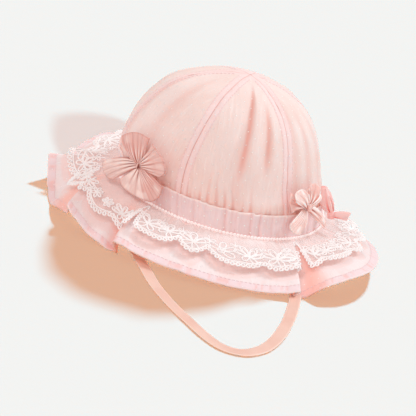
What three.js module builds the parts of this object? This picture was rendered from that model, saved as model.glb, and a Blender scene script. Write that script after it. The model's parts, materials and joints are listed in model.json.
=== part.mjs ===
import * as THREE from 'three';

// Baby bucket hat: six crown panels, a band, a fluted brim with a lace flounce, side bows and a chin strap.
// Lengths are millimetres and angles are degrees. Azimuth 0 is the front of the hat, towards -Y, and grows
// towards +X. Each piece is drawn in the hat's own frame, with the centre of the head opening at the origin
// and the crown along +Z, and then settled on its brim on the floor at z = 0.

// Head opening, band and crown
const HEAD_RADIUS = 78.5;
const BAND_HEIGHT = 17;
const BAND_WALL = 1.5;
const CROWN_WALL = 1.4;
const PANEL_COUNT = 6;
const FIRST_SEAM = -16.5;
const PANEL_PUFF = 1.3;
const TIP_RADIUS = 1.6;

// Brim, lace and bows
const BRIM_WALL = 1.4;
const BRIM_DROOP = 1.3;
const BRIM_TURN = 1.2;
const HEM_ROWS = 1.4;
const LACE_WALL = 1;
const LACE_LIFT = 1;
const LACE_START = 0.05;
const LACE_END = 0.6;
const SCALLOP_COUNT = 22;
const SCALLOP_DEPTH = 0.05;
const PETAL_WALL = 1.1;
const SATIN_WALL = 1.2;

// Chin strap
const STRAP_WIDTH = 8;
const STRAP_WALL = 1;
const STRAP_STEPS = 48;

// Rest: how the hat leans on the floor, and how high its head opening stands
const GAP = 0.3;
const LEAN_FORWARD = 3.72;
const LEAN_SIDE = 1.71;
const RIDE_HEIGHT = 26;
const SHIFT_X = 3.6;
const SHIFT_Y = 0.7;

// Crown outline from the band to the top: height above the head opening, radius there, and how far the
// middle of the crown leans towards +X.
const CROWN_PROFILE = [
  { height: 17, radius: 78.3, lean: -3.5 },
  { height: 32, radius: 74.5, lean: -6.3 },
  { height: 47, radius: 69.2, lean: -6.8 },
  { height: 60, radius: 62.6, lean: -6.2 },
  { height: 71, radius: 54.5, lean: -5.6 },
  { height: 80, radius: 43.5, lean: -5 },
  { height: 86.7, radius: 29.5, lean: -4.2 },
  { height: 91, radius: 14, lean: -3.6 },
  { height: 92.3, radius: 0, lean: -3 },
];

// Soft upright folds in the cloth of the crown
const CROWN_FOLDS = [
  { azimuth: 13, depth: 1.1, width: 5 },
  { azimuth: 29, depth: 1.3, width: 5 },
  { azimuth: 72, depth: 1.2, width: 7 },
  { azimuth: -50, depth: 0.9, width: 8 },
];

// The brim's hem, one row for each turn of a flute: the azimuth where that fold leaves the band, the azimuth
// of the hem, and the hem's radius and height. Where the hem's azimuth steps back, one flute laps the next.
const HEM = [
  { root: -35.5, azimuth: -26.8, radius: 131, height: -11.5 },
  { root: -32, azimuth: -23, radius: 132, height: -9.5 },
  { root: -27, azimuth: -19.5, radius: 131.5, height: -11.3 },
  { root: -14, azimuth: -11, radius: 131, height: -12.5 },
  { root: 0, azimuth: 0, radius: 130.5, height: -13.5 },
  { root: 12, azimuth: 10, radius: 130, height: -14 },
  { root: 24, azimuth: 20, radius: 130, height: -13.8 },
  { root: 35, azimuth: 27.5, radius: 131, height: -12.5 },
  { root: 40, azimuth: 32.2, radius: 131.5, height: -11 },
  { root: 44.5, azimuth: 30.5, radius: 128, height: -14 },
  { root: 46.5, azimuth: 33.8, radius: 131, height: -11 },
  { root: 48.5, azimuth: 36.5, radius: 132, height: -7 },
  { root: 51.5, azimuth: 41, radius: 132.5, height: -3.5 },
  { root: 57, azimuth: 50, radius: 132.5, height: -2.5 },
  { root: 63, azimuth: 60, radius: 132, height: -4 },
  { root: 71, azimuth: 70, radius: 130, height: -6 },
  { root: 80, azimuth: 80, radius: 127.5, height: -9 },
  { root: 89, azimuth: 90, radius: 126.5, height: -13 },
  { root: 99, azimuth: 100, radius: 127, height: -17.5 },
  { root: 110, azimuth: 111, radius: 125.5, height: -22 },
  { root: 121, azimuth: 122, radius: 121, height: -27.5 },
  { root: 131, azimuth: 132, radius: 118, height: -34 },
  { root: 140, azimuth: 141, radius: 121, height: -29.5 },
  { root: 150, azimuth: 150, radius: 127, height: -21 },
  { root: 160, azimuth: 160, radius: 126, height: -26.5 },
  { root: 169, azimuth: 169, radius: 123.5, height: -39 },
  { root: 178, azimuth: 178, radius: 124, height: -38.5 },
  { root: 188, azimuth: 188, radius: 128, height: -22 },
  { root: 198, azimuth: 198, radius: 124.5, height: -36 },
  { root: 206, azimuth: 206, radius: 123, height: -41 },
  { root: 214, azimuth: 214, radius: 125, height: -31.5 },
  { root: 223, azimuth: 223, radius: 130, height: -17 },
  { root: 231, azimuth: 231, radius: 131.5, height: -11 },
  { root: 239, azimuth: 239, radius: 130.5, height: -13.5 },
  { root: 249, azimuth: 249, radius: 129.5, height: -19 },
  { root: 259, azimuth: 260, radius: 127.5, height: -24 },
  { root: 265, azimuth: 265.5, radius: 128.5, height: -21 },
  { root: 268, azimuth: 268.8, radius: 133, height: -12 },
  { root: 272, azimuth: 273.5, radius: 130, height: -20 },
  { root: 276, azimuth: 281, radius: 126, height: -33 },
  { root: 280, azimuth: 290, radius: 126.5, height: -31 },
  { root: 284, azimuth: 299, radius: 128, height: -22.5 },
  { root: 287.5, azimuth: 307, radius: 129.5, height: -17 },
  { root: 290, azimuth: 311.8, radius: 130.5, height: -14 },
  { root: 292, azimuth: 312.6, radius: 133, height: -8 },
  { root: 300, azimuth: 317.5, radius: 131.5, height: -12.5 },
  { root: 308, azimuth: 323.5, radius: 130, height: -17 },
  { root: 314, azimuth: 330, radius: 128.5, height: -19.3 },
  { root: 319, azimuth: 334, radius: 126.5, height: -23 },
];

// Bows: azimuth and height of the knot on the crown, then one row for each petal: the direction it points on
// the crown (0 sideways to the wearer's left, 90 up), the half angle of its fan, its length, how far its
// near end and its outer end stand off the crown, and its pleats.
const BOWS = {
  left_bow: {
    azimuth: -41.5,
    height: 23.5,
    petals: {
      top: { direction: 127, fan: 33, length: 25, near: 2.2, far: 6.5, pleats: 3, depth: 0.8 },
      left: { direction: 208, fan: 14, length: 36, near: 2.2, far: 7.5, pleats: 2, depth: 0.7 },
      right: { direction: 46, fan: 32, length: 26, near: 2.2, far: 6, pleats: 3, depth: 0.8 },
      lower_left: { direction: 269, fan: 40, length: 22, near: 2.2, far: 4.5, pleats: 1, depth: 0.5 },
      lower_right: { direction: 334, fan: 19, length: 29, near: 2.2, far: 5.5, pleats: 3, depth: 0.9 },
    },
  },
  right_bow: {
    azimuth: 52,
    height: 24.5,
    petals: {
      upper_left: { direction: 142, fan: 25, length: 23, near: 2.2, far: 8, pleats: 2, depth: 0.7 },
      upper_right: { direction: 57, fan: 38, length: 19, near: 2.2, far: 7, pleats: 2, depth: 0.7 },
      lower_left: { direction: 235, fan: 42, length: 20, near: 2.2, far: 5, pleats: 3, depth: 0.8 },
      tail: { direction: 325, fan: 22, length: 31, near: 2.2, far: 5.5, pleats: 2, depth: 0.7 },
    },
  },
};
const SATIN_BOW = {
  azimuth: 75,
  height: 11,
  petals: {
    loop: { direction: 84, fan: 32, length: 20, near: 2.2, far: 9, pleats: 0, depth: 0 },
    tail: { direction: 352, fan: 24, length: 16, near: 2.2, far: 19, pleats: 0, depth: 0 },
  },
};
const KNOT_RADIUS = 3.2;
const PETAL_START = 3.7;

// The strap's middle line on the settled hat, from inside the band on the left, down to the floor, round in
// front of the brim and back up inside the band on the right.
const STRAP_ROUTE = [
  [-62, -41.1, 38],
  [-60.3, -40.4, 29],
  [-59.5, -40.6, 19],
  [-58.4, -45.3, 8],
  [-55.4, -57.3, 1.8],
  [-48.4, -80.3, 0.7],
  [-39.2, -105.6, 0.7],
  [-29.4, -128.9, 0.7],
  [-20.4, -149.4, 0.7],
  [-6.2, -173, 0.7],
  [7.2, -190.7, 0.7],
  [18.7, -204.9, 0.7],
  [29.6, -213.6, 0.7],
  [40.6, -213.9, 0.7],
  [51.1, -204.3, 0.7],
  [58.6, -188.3, 0.7],
  [64.1, -166.3, 0.7],
  [67.8, -142.3, 0.7],
  [70.2, -115.3, 0.7],
  [70.6, -89.3, 0.7],
  [69.2, -61.3, 1.8],
  [67.4, -46.3, 8],
  [66.6, -40.6, 17],
  [66, -40.4, 26],
  [64.5, -41.1, 34.5],
];

const RAD = Math.PI / 180;
const UP = new THREE.Vector3(0, 0, 1);

// Turns the hat's own frame into the settled one.
const settle = new THREE.Matrix4()
  .makeTranslation(SHIFT_X, SHIFT_Y, RIDE_HEIGHT)
  .multiply(new THREE.Matrix4().makeRotationY(LEAN_SIDE * RAD))
  .multiply(new THREE.Matrix4().makeRotationX(LEAN_FORWARD * RAD));

// A point at an azimuth, a distance from the hat's axis and a height.
function polar(azimuth, radius, height, lean = 0) {
  const angle = azimuth * RAD;
  return new THREE.Vector3(lean + radius * Math.sin(angle), -radius * Math.cos(angle), height);
}

// A cloth wall as one closed solid. point(u, v) is its outer face for u and v from 0 to 1, facing is 1 where
// d/du x d/dv points out of that face and -1 where it points in, closed joins u = 1 to u = 0, plumb measures
// the wall straight down, and levelRows lists the rows of points whose two faces end at one height.
function clothWall({
  point,
  columns,
  rows,
  wall,
  facing = 1,
  closed = false,
  plumb = false,
  levelRows = [],
}) {
  const across = closed ? columns : columns + 1;
  const step = 1e-3;
  const outer = [];
  const inner = [];
  for (let j = 0; j <= rows; j += 1) {
    for (let i = 0; i < across; i += 1) {
      const u = i / columns;
      const v = j / rows;
      const place = point(u, v);
      const [u0, u1] = closed ? [u - step, u + step] : [Math.max(u - step, 0), Math.min(u + step, 1)];
      const [v0, v1] = [Math.max(v - step, 0), Math.min(v + step, 1)];
      const alongU = point(u1, v).sub(point(u0, v));
      const alongV = point(u, v1).sub(point(u, v0));
      const normal = plumb ? UP.clone() : alongU.cross(alongV).normalize().multiplyScalar(facing);
      const behind = place.clone().addScaledVector(normal, -wall);
      if (levelRows.includes(j)) behind.z = place.z;
      outer.push(place.applyMatrix4(settle));
      inner.push(behind.applyMatrix4(settle));
    }
  }
  // Cloth that reaches the floor lies flat on it.
  outer.forEach((top, k) => {
    inner[k].z = Math.max(inner[k].z, 0);
    top.z = Math.max(top.z, wall);
  });
  const positions = [...outer, ...inner].flatMap((p) => [p.x, p.y, p.z]);
  const triangles = [];
  const quad = (a, b, c, d) => triangles.push(...(facing > 0 ? [a, b, c, a, c, d] : [a, c, b, a, d, c]));
  const back = outer.length;
  const at = (i, j) => j * across + (i % across);
  for (let j = 0; j < rows; j += 1) {
    for (let i = 0; i < columns; i += 1) {
      const [a, b, c, d] = [at(i, j), at(i + 1, j), at(i + 1, j + 1), at(i, j + 1)];
      quad(a, b, c, d);
      quad(back + a, back + d, back + c, back + b);
    }
  }
  for (let i = 0; i < columns; i += 1) {
    const [a, b] = [at(i, 0), at(i + 1, 0)];
    const [c, d] = [at(i, rows), at(i + 1, rows)];
    quad(back + a, back + b, b, a);
    quad(c, d, back + d, back + c);
  }
  if (!closed) {
    for (let j = 0; j < rows; j += 1) {
      const [a, b] = [at(0, j), at(0, j + 1)];
      const [c, d] = [at(columns, j), at(columns, j + 1)];
      quad(a, b, back + b, back + a);
      quad(back + c, back + d, d, c);
    }
  }
  const geometry = new THREE.BufferGeometry();
  geometry.setAttribute('position', new THREE.Float32BufferAttribute(positions, 3));
  geometry.setIndex(triangles);
  geometry.computeVertexNormals();
  return geometry;
}

const hat = new THREE.Group();
hat.name = 'baby_bucket_hat';

function addPiece(name, geometry, color, roughness) {
  const material = new THREE.MeshStandardMaterial({ color, roughness, metalness: 0 });
  const mesh = new THREE.Mesh(geometry, material);
  mesh.name = name;
  hat.add(mesh);
}

// Crown: the profile curve holds radius, lean and height in x, y and z.
const crownCurve = new THREE.CatmullRomCurve3(
  CROWN_PROFILE.map((row) => new THREE.Vector3(row.radius, row.lean, row.height)),
  false,
  'centripetal',
);

function foldDepth(azimuth) {
  let depth = 0;
  for (const fold of CROWN_FOLDS) {
    depth += fold.depth * Math.exp(-(((azimuth - fold.azimuth) / fold.width) ** 2));
  }
  return depth;
}

// A point on the crown's outer face: rise is 0 at the band and 1 at the top.
function crownPoint(azimuth, rise) {
  const profile = crownCurve.getPointAt(rise);
  const span = 360 / PANEL_COUNT;
  const across = ((((azimuth - FIRST_SEAM) % span) + span) % span) / span;
  const fullness = Math.sin(Math.PI * rise) ** 0.5;
  const puff = (PANEL_PUFF * Math.sin(Math.PI * across) - foldDepth(azimuth)) * fullness;
  return polar(azimuth, profile.x + puff, profile.z + GAP / 2, profile.y);
}

function crownPanel(index) {
  const seam = FIRST_SEAM + (360 / PANEL_COUNT) * index;
  const span = 360 / PANEL_COUNT;
  const tip = 1 - TIP_RADIUS / crownCurve.getLength();
  return clothWall({
    columns: 8,
    rows: 10,
    wall: CROWN_WALL,
    levelRows: [0],
    point: (u, v) => {
      const rise = v * tip;
      const margin = Math.asin(GAP / 2 / crownCurve.getPointAt(rise).x) / RAD;
      return crownPoint(seam + margin + (span - 2 * margin) * u, rise);
    },
  });
}
for (let k = 0; k < PANEL_COUNT; k += 1) {
  addPiece(`crown_panel_${k + 1}`, crownPanel(k), 0xf0cfc6, 0.85);
}

// Band: it leans with the crown's lower edge.
function bandPoint(azimuth, share) {
  const height = GAP / 2 + (BAND_HEIGHT - GAP) * share;
  const radius = THREE.MathUtils.lerp(HEAD_RADIUS, CROWN_PROFILE[0].radius, share);
  return polar(azimuth, radius, height, CROWN_PROFILE[0].lean * share);
}
const band = clothWall({
  columns: 60,
  rows: 2,
  wall: BAND_WALL,
  closed: true,
  levelRows: [0, 2],
  point: (u, v) => bandPoint(360 * u, v),
});
addPiece('hat_band', band, 0xeac7c6, 0.85);

// Brim: straight lines from the band to the hem, drooping more towards the hem.
const hemCurve = new THREE.CatmullRomCurve3(
  HEM.map((row) => polar(row.azimuth, row.radius, row.height)),
  true,
  'centripetal',
);

function rootAzimuth(share) {
  const turns = Math.floor(share);
  const place = (share - turns) * HEM.length;
  const k = Math.min(Math.floor(place), HEM.length - 1);
  const from = HEM[k].root;
  const next = k + 1 < HEM.length ? HEM[k + 1].root : HEM[0].root + 360;
  return from + (next - from) * (place - k) + 360 * turns;
}

// A point on the brim's upper face: share runs once round the hem, reach is 0 at the band and 1 at the hem.
function brimPoint(share, reach) {
  const hem = hemCurve.getPoint(share - Math.floor(share));
  const root = rootAzimuth(share);
  const hemRadius = Math.hypot(hem.x, hem.y);
  let turn = Math.atan2(hem.x, -hem.y) / RAD - root;
  turn -= 360 * Math.round(turn / 360);
  const radius = THREE.MathUtils.lerp(HEAD_RADIUS, hemRadius, reach);
  return polar(root + turn * reach ** BRIM_TURN, radius, hem.z * reach ** BRIM_DROOP - GAP / 2);
}
const STATIONS = HEM.length * 2;
const brim = clothWall({
  columns: STATIONS,
  rows: 6,
  wall: BRIM_WALL,
  closed: true,
  facing: -1,
  point: (u, v) => brimPoint(u, 1 - (1 - v) ** HEM_ROWS),
});
addPiece('brim', brim, 0xf1d2d0, 0.85);

// Lace flounce: it lies on the brim and ends in scallops.
function lacePoint(share, reach) {
  const scallop = Math.abs(Math.sin(Math.PI * SCALLOP_COUNT * share));
  const end = LACE_END + SCALLOP_DEPTH * scallop;
  const place = THREE.MathUtils.lerp(LACE_START, end, reach);
  return brimPoint(share, place).addScaledVector(UP, LACE_LIFT + LACE_WALL);
}
const lace = clothWall({
  columns: STATIONS,
  rows: 3,
  wall: LACE_WALL,
  closed: true,
  facing: -1,
  plumb: true,
  point: lacePoint,
});
addPiece('lace_flounce', lace, 0xf6eeea, 0.9);

// Bows: each petal is a pleated fan that spreads from the knot and lifts off the crown.
function seatPoint(azimuth, height) {
  if (height <= BAND_HEIGHT) return bandPoint(azimuth, height / BAND_HEIGHT);
  return crownPoint(azimuth, (height - BAND_HEIGHT) / crownCurve.getLength());
}

function bowFrame({ azimuth, height }) {
  const origin = seatPoint(azimuth, height);
  const along = seatPoint(azimuth + 1, height).sub(seatPoint(azimuth - 1, height)).normalize();
  const up = seatPoint(azimuth, height + 2).sub(origin).normalize();
  const out = along.clone().cross(up).normalize();
  return { origin, along, up, out };
}

function petalWall(frame, petal, wall) {
  const point = (u, v) => {
    const side = 2 * u - 1;
    const direction = (petal.direction + petal.fan * side) * RAD;
    const reach = THREE.MathUtils.lerp(PETAL_START, petal.length * (1 - 0.12 * side ** 2), v);
    const pleat = petal.depth * v * Math.cos(Math.PI * petal.pleats * side);
    const lift = THREE.MathUtils.lerp(petal.near, petal.far, Math.sin((Math.PI / 2) * v)) + pleat;
    return frame.origin
      .clone()
      .addScaledVector(frame.along, reach * Math.cos(direction))
      .addScaledVector(frame.up, reach * Math.sin(direction))
      .addScaledVector(frame.out, lift);
  };
  return clothWall({ point, columns: 8, rows: 3, wall, facing: -1 });
}

function knotBall(frame) {
  const ball = new THREE.SphereGeometry(KNOT_RADIUS, 8, 6);
  const turn = new THREE.Matrix4().makeBasis(frame.along, frame.up, frame.out);
  const centre = frame.origin.clone().addScaledVector(frame.out, KNOT_RADIUS + GAP);
  turn.setPosition(centre);
  return ball.applyMatrix4(turn).applyMatrix4(settle);
}

function addBow(name, bow, wall, color, roughness) {
  const frame = bowFrame(bow);
  for (const [petalName, petal] of Object.entries(bow.petals)) {
    addPiece(`${name}_${petalName}`, petalWall(frame, petal, wall), color, roughness);
  }
  addPiece(`${name}_knot`, knotBall(frame), color, roughness);
}
addBow('left_bow', BOWS.left_bow, PETAL_WALL, 0xe3b6ac, 0.8);
addBow('right_bow', BOWS.right_bow, PETAL_WALL, 0xeccfca, 0.75);
addBow('satin_bow', SATIN_BOW, SATIN_WALL, 0xf8aca6, 0.4);

// Chin strap: a flat ribbon, sewn upright inside the band and lying flat where it is on the floor.
const strapLine = new THREE.CatmullRomCurve3(
  STRAP_ROUTE.map(([x, y, z]) => new THREE.Vector3(x, y, z)),
  false,
  'centripetal',
);
strapLine.computeFrenetFrames = (steps) => {
  const frames = { tangents: [], normals: [], binormals: [] };
  for (let k = 0; k <= steps; k += 1) {
    const place = strapLine.getPointAt(k / steps);
    const tangent = strapLine.getTangentAt(k / steps);
    const flat = new THREE.Vector3(-tangent.y, tangent.x, 0).normalize();
    const sewn = new THREE.Vector3(-place.y, place.x, 0).normalize();
    if (sewn.dot(flat) < 0) sewn.negate();
    const width = flat.lerp(sewn, THREE.MathUtils.smoothstep(place.z, 2, 22));
    width.addScaledVector(tangent, -width.dot(tangent)).normalize();
    frames.tangents.push(tangent);
    frames.normals.push(width);
    frames.binormals.push(tangent.clone().cross(width));
  }
  return frames;
};
const strapSection = new THREE.Shape();
const [halfWidth, halfWall] = [STRAP_WIDTH / 2, STRAP_WALL / 2];
const bevel = halfWall * 0.6;
[
  [halfWidth, -halfWall + bevel],
  [halfWidth, halfWall - bevel],
  [halfWidth - bevel, halfWall],
  [-halfWidth + bevel, halfWall],
  [-halfWidth, halfWall - bevel],
  [-halfWidth, -halfWall + bevel],
  [-halfWidth + bevel, -halfWall],
  [halfWidth - bevel, -halfWall],
].forEach(([x, y], k) => (k === 0 ? strapSection.moveTo(x, y) : strapSection.lineTo(x, y)));
strapSection.closePath();
const strap = new THREE.ExtrudeGeometry(strapSection, { steps: STRAP_STEPS, extrudePath: strapLine });
addPiece('chin_strap', strap, 0xf2c9ba, 0.6);

export default hat;
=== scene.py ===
import json
import math

import bpy
import numpy as np
from mathutils import Matrix, Quaternion, Vector

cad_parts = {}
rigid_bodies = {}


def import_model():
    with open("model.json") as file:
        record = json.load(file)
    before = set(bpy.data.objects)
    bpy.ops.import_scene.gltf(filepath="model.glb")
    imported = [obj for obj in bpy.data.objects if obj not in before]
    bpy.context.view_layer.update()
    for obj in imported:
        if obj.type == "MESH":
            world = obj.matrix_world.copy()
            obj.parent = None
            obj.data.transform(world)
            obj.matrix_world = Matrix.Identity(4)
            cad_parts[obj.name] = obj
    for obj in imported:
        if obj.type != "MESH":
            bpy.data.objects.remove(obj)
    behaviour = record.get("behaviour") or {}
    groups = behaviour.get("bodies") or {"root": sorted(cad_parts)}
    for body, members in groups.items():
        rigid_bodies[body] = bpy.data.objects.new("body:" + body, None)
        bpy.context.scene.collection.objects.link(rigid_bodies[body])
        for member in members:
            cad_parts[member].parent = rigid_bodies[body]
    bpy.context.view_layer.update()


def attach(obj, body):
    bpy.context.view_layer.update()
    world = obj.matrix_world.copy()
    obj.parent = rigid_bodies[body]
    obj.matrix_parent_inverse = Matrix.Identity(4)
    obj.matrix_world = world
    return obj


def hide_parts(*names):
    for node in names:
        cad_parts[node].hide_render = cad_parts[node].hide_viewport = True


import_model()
mm = 0.001
print("frame loaded")


def addObject(name, data):
    made = bpy.data.objects.new(name, data)
    bpy.context.scene.collection.objects.link(made)
    return made


# camera

cameraLook = {
    "eye": (0.0111, -0.8109, 0.2783),
    "target": (0.0036, 0.0007, 0.026),  # the middle of the head opening
    "roll": 14.51,
    "lens": 97.7,
    "shift": (-0.0313, -0.0433),
}


def makeCamera(look):
    camera = addObject("camera", bpy.data.cameras.new("camera"))
    camera.location = look["eye"]
    aim = Vector(look["target"]) - Vector(look["eye"])
    roll = Quaternion((0, 0, 1), math.radians(look["roll"]))
    camera.rotation_mode = "QUATERNION"
    camera.rotation_quaternion = aim.to_track_quat("-Z", "Y") @ roll
    camera.data.lens = look["lens"]
    camera.data.shift_x, camera.data.shift_y = look["shift"]
    camera.data.clip_start = 0.01
    camera.data.clip_end = 60
    bpy.context.scene.camera = camera


makeCamera(cameraLook)


# curves, grids and meshes

def splineAt(rows, places, closed=False):
    # centripetal Catmull-Rom through the rows, places run from 0 to 1
    rows = np.asarray(rows, float)
    count = len(rows)
    spans = count if closed else count - 1
    at = (np.mod(places, 1) if closed else np.clip(places, 0, 1)) * spans
    index = np.minimum(np.floor(at).astype(int), spans - 1)
    t = (at - index)[..., None]
    if closed:
        points = [rows[(index + k) % count] for k in (-1, 0, 1, 2)]
    else:
        padded = np.vstack([2 * rows[0] - rows[1], rows, 2 * rows[-1] - rows[-2]])
        points = [padded[index + k] for k in (0, 1, 2, 3)]
    steps = [np.linalg.norm(points[k + 1] - points[k], axis=-1, keepdims=True) ** 0.5 for k in range(3)]
    before, here, after, beyond = points
    slope = (after - here) / steps[1]
    startSlope = ((here - before) / steps[0] - (after - before) / (steps[0] + steps[1]) + slope) * steps[1]
    endSlope = (slope - (beyond - here) / (steps[1] + steps[2]) + (beyond - after) / steps[2]) * steps[1]
    square = -3 * here + 3 * after - 2 * startSlope - endSlope
    cube = 2 * here - 2 * after + startSlope + endSlope
    return here + startSlope * t + square * t ** 2 + cube * t ** 3


def goneAlong(line):
    # the distance from the line's start at each of its points
    return np.append(0, np.cumsum(np.linalg.norm(np.diff(line, axis=0), axis=1)))


def pointsAt(marks, gone, line):
    return np.stack([np.interp(marks, gone, line[:, k]) for k in range(3)], 1)


def evenPath(rows, count):
    # points at even distances along the spline through the rows
    fine = splineAt(rows, np.linspace(0, 1, 40 * len(rows)))
    gone = goneAlong(fine)
    return pointsAt(np.linspace(0, gone[-1], count), gone, fine), gone[-1]


def turnsRound(count):
    return np.linspace(0, 2 * math.pi, count, endpoint=False)


def circlePoints(count):
    return np.stack([np.cos(turnsRound(count)), np.sin(turnsRound(count))], 1)


def degreesFrom(azimuth, place):
    return np.mod(azimuth - place + 180, 360) - 180


def bell(away, half):
    return np.exp(-(away / half) ** 2)


def roundTable(azimuth, rows):
    # rows hold an azimuth from 0 to 360 and the value there
    return np.interp(np.mod(azimuth, 360), *np.array(rows).T)


def unit(vectors):
    return vectors / np.maximum(np.linalg.norm(vectors, axis=-1, keepdims=True), 1e-12)


def smooth(values, low, high):
    t = np.clip((values - low) / (high - low), 0, 1)
    return t * t * (3 - 2 * t)


def lerp(low, high, share):
    return low + (high - low) * share


def softNoise(u, v, seed, period=0):
    # value noise between -1 and 1, one cell for each whole number, wrapping every period cells along u
    table = np.random.default_rng(seed).uniform(-1, 1, (512, 64))
    cellU, cellV = np.floor(u).astype(int), np.floor(v).astype(int)
    restU, restV = u - cellU, v - cellV
    restU, restV = restU * restU * (3 - 2 * restU), restV * restV * (3 - 2 * restV)
    wrap = period or 512
    corner = [[table[(cellU + i) % wrap % 512, (cellV + j) % 64] for i in (0, 1)] for j in (0, 1)]
    rows = [lerp(corner[j][0], corner[j][1], restU) for j in (0, 1)]
    return lerp(rows[0], rows[1], restV)


def waves(size, u, v, seed):
    # size holds how deep the waves are and how long they are along u and along v
    depth, alongU, alongV = size
    return depth * softNoise(u / alongU, v / alongV, seed)


def gridNormals(grid, closed):
    if closed:
        alongU = np.roll(grid, -1, 1) - np.roll(grid, 1, 1)
    else:
        alongU = np.gradient(grid, axis=1)
    return unit(np.cross(alongU, np.gradient(grid, axis=0)))


def newPiece(name, verts, faces, material, cornerUvs=None, masks=None):
    mesh = bpy.data.meshes.new(name)
    mesh.from_pydata(np.asarray(verts).tolist(), [], [list(map(int, f)) for f in faces])
    if cornerUvs is not None:
        layer = mesh.uv_layers.new(name="cloth")
        layer.data.foreach_set("uv", np.asarray(cornerUvs, np.float32).ravel())
    for maskName, values in (masks or {}).items():
        attribute = mesh.attributes.new(maskName, "FLOAT", "POINT")
        attribute.data.foreach_set("value", np.asarray(values, np.float32).ravel())
    mesh.shade_smooth()
    mesh.materials.append(material)
    return addObject(name, mesh)


def keepPiece(piece, node=None):
    # every piece rides on the hat's one body
    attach(piece, "root")
    if node:
        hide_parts(node)
    return piece


def clothPiece(name, top, wall, uv, material, closed=False, facing=1, masks=None, floor=True):
    # a cloth wall with two faces and its cut edges: top is the outer face, rows by columns, and uv the place
    # of each point on the flat cloth, with one more column where the cloth closes on itself
    rows, columns = top.shape[:2]
    back = top - gridNormals(top, closed) * facing * np.asarray(wall)[..., None]
    if floor:  # the cloth is pressed flat where it would pass the surface
        back[..., 2] = np.maximum(back[..., 2], 0)
        top = top.copy()
        top[..., 2] = np.maximum(top[..., 2], 0.6 * np.max(wall))
    verts = np.vstack([top.reshape(-1, 3), back.reshape(-1, 3)])
    spans = columns if closed else columns - 1
    j, i = np.meshgrid(np.arange(rows - 1), np.arange(spans), indexing="ij")
    j, i = j.ravel(), i.ravel()

    def at(row, column):
        return row * columns + column % columns

    corners = [(j, i), (j, i + 1), (j + 1, i + 1), (j + 1, i)]
    outer = np.stack([at(*c) for c in corners], 1)
    outerUv = np.stack([uv[c] for c in corners], 1)
    inner = outer[:, ::-1] + rows * columns
    innerUv = outerUv[:, ::-1]
    faces, uvs = [outer, inner], [outerUv, innerUv]

    def rim(first, second, firstUv, secondUv):
        faces.append(np.stack([second, first, first + rows * columns, second + rows * columns], 1))
        uvs.append(np.stack([secondUv, firstUv, firstUv, secondUv], 1))

    across = np.arange(spans)
    rim(at(0, across), at(0, across + 1), uv[0, across], uv[0, across + 1])
    rim(at(rows - 1, across + 1), at(rows - 1, across), uv[-1, across + 1], uv[-1, across])
    if not closed:
        down = np.arange(rows - 1)
        rim(at(down + 1, 0), at(down, 0), uv[down + 1, 0], uv[down, 0])
        rim(at(down, columns - 1), at(down + 1, columns - 1), uv[down, -1], uv[down + 1, -1])
    allFaces, allUvs = np.vstack(faces), np.vstack(uvs)
    if facing < 0:
        allFaces, allUvs = allFaces[:, ::-1], allUvs[:, ::-1]
    both = {key: np.tile(values.ravel(), 2) for key, values in (masks or {}).items()}
    return newPiece(name, verts, allFaces, material, allUvs.reshape(-1, 2), both)


def sweep(path, across, above, wide, high, loop=False):
    # a skin round the path: wide and high are where the points of its section lie across and above it
    count, sides = len(path), len(wide)
    ring = across[:, None] * wide[None, :, None] + above[:, None] * high[None, :, None]
    k, s = np.meshgrid(np.arange(count if loop else count - 1), np.arange(sides), indexing="ij")
    k, s = k.ravel(), s.ravel()
    after, turned = (k + 1) % count, (s + 1) % sides
    corners = [(k, s), (after, s), (after, turned), (k, turned)]
    faces = np.stack([row * sides + column for row, column in corners], 1).tolist()
    if not loop:
        faces.append(list(range(sides)))
        faces.append([(count - 1) * sides + k for k in reversed(range(sides))])
    return (path[:, None] + ring).reshape(-1, 3), faces, corners


def tubeParts(path, normals, halfWidth, halfHeight, sides=6, loop=False):
    # a cord of oval section along the path, lying on the surface with those normals
    ahead = np.roll(path, -1, 0) - np.roll(path, 1, 0) if loop else np.gradient(path, axis=0)
    tangents = unit(ahead)
    across = unit(np.cross(tangents, normals))
    wide, high = circlePoints(sides).T
    return sweep(path, across, np.cross(across, tangents), halfWidth * wide, halfHeight * high, loop)[:2]


def joinParts(parts):
    verts, faces, base = [], [], 0
    for partVerts, partFaces in parts:
        verts.append(partVerts)
        faces.extend([[base + k for k in face] for face in partFaces])
        base += len(partVerts)
    return np.vstack(verts), faces


def threadPiece(name, parts, material):
    # many short threads as one piece
    return keepPiece(newPiece(name, *joinParts(parts), material))


# shader nodes

def tone(code):
    # a colour written as red, green and blue in hexadecimal, as the linear colour that a socket takes
    parts = [int(code[k:k + 2], 16) / 255 for k in (0, 2, 4)]
    return [c / 12.92 if c <= 0.04045 else ((c + 0.055) / 1.055) ** 2.4 for c in parts] + [1]


def addNode(tree, kind, given, output=0, **settings):
    # given holds the inputs by name or number, each a value or another node's output
    made = tree.nodes.new("ShaderNode" + kind)
    for name, value in settings.items():
        setattr(made, name, value)
    for socket, value in given.items():
        feed(tree, made.inputs[socket], value)
    return made.outputs[output]


def feed(tree, socket, value):
    if isinstance(value, bpy.types.NodeSocket):
        tree.links.new(value, socket)
    else:
        socket.default_value = value


def mathNode(tree, operation, *values, clamp=False):
    return addNode(tree, "Math", dict(enumerate(values)), operation=operation, use_clamp=clamp)


def timesNode(tree, first, second):
    return mathNode(tree, "MULTIPLY", first, second)


def addedUp(tree, *layers):
    # each layer is a socket and the share that it adds
    total = 0.0
    for socket, share in layers:
        total = mathNode(tree, "MULTIPLY_ADD", socket, share, total)
    return total


def vectorNode(tree, operation, *values, output=0):
    return addNode(tree, "VectorMath", dict(enumerate(values)), output, operation=operation)


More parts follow.
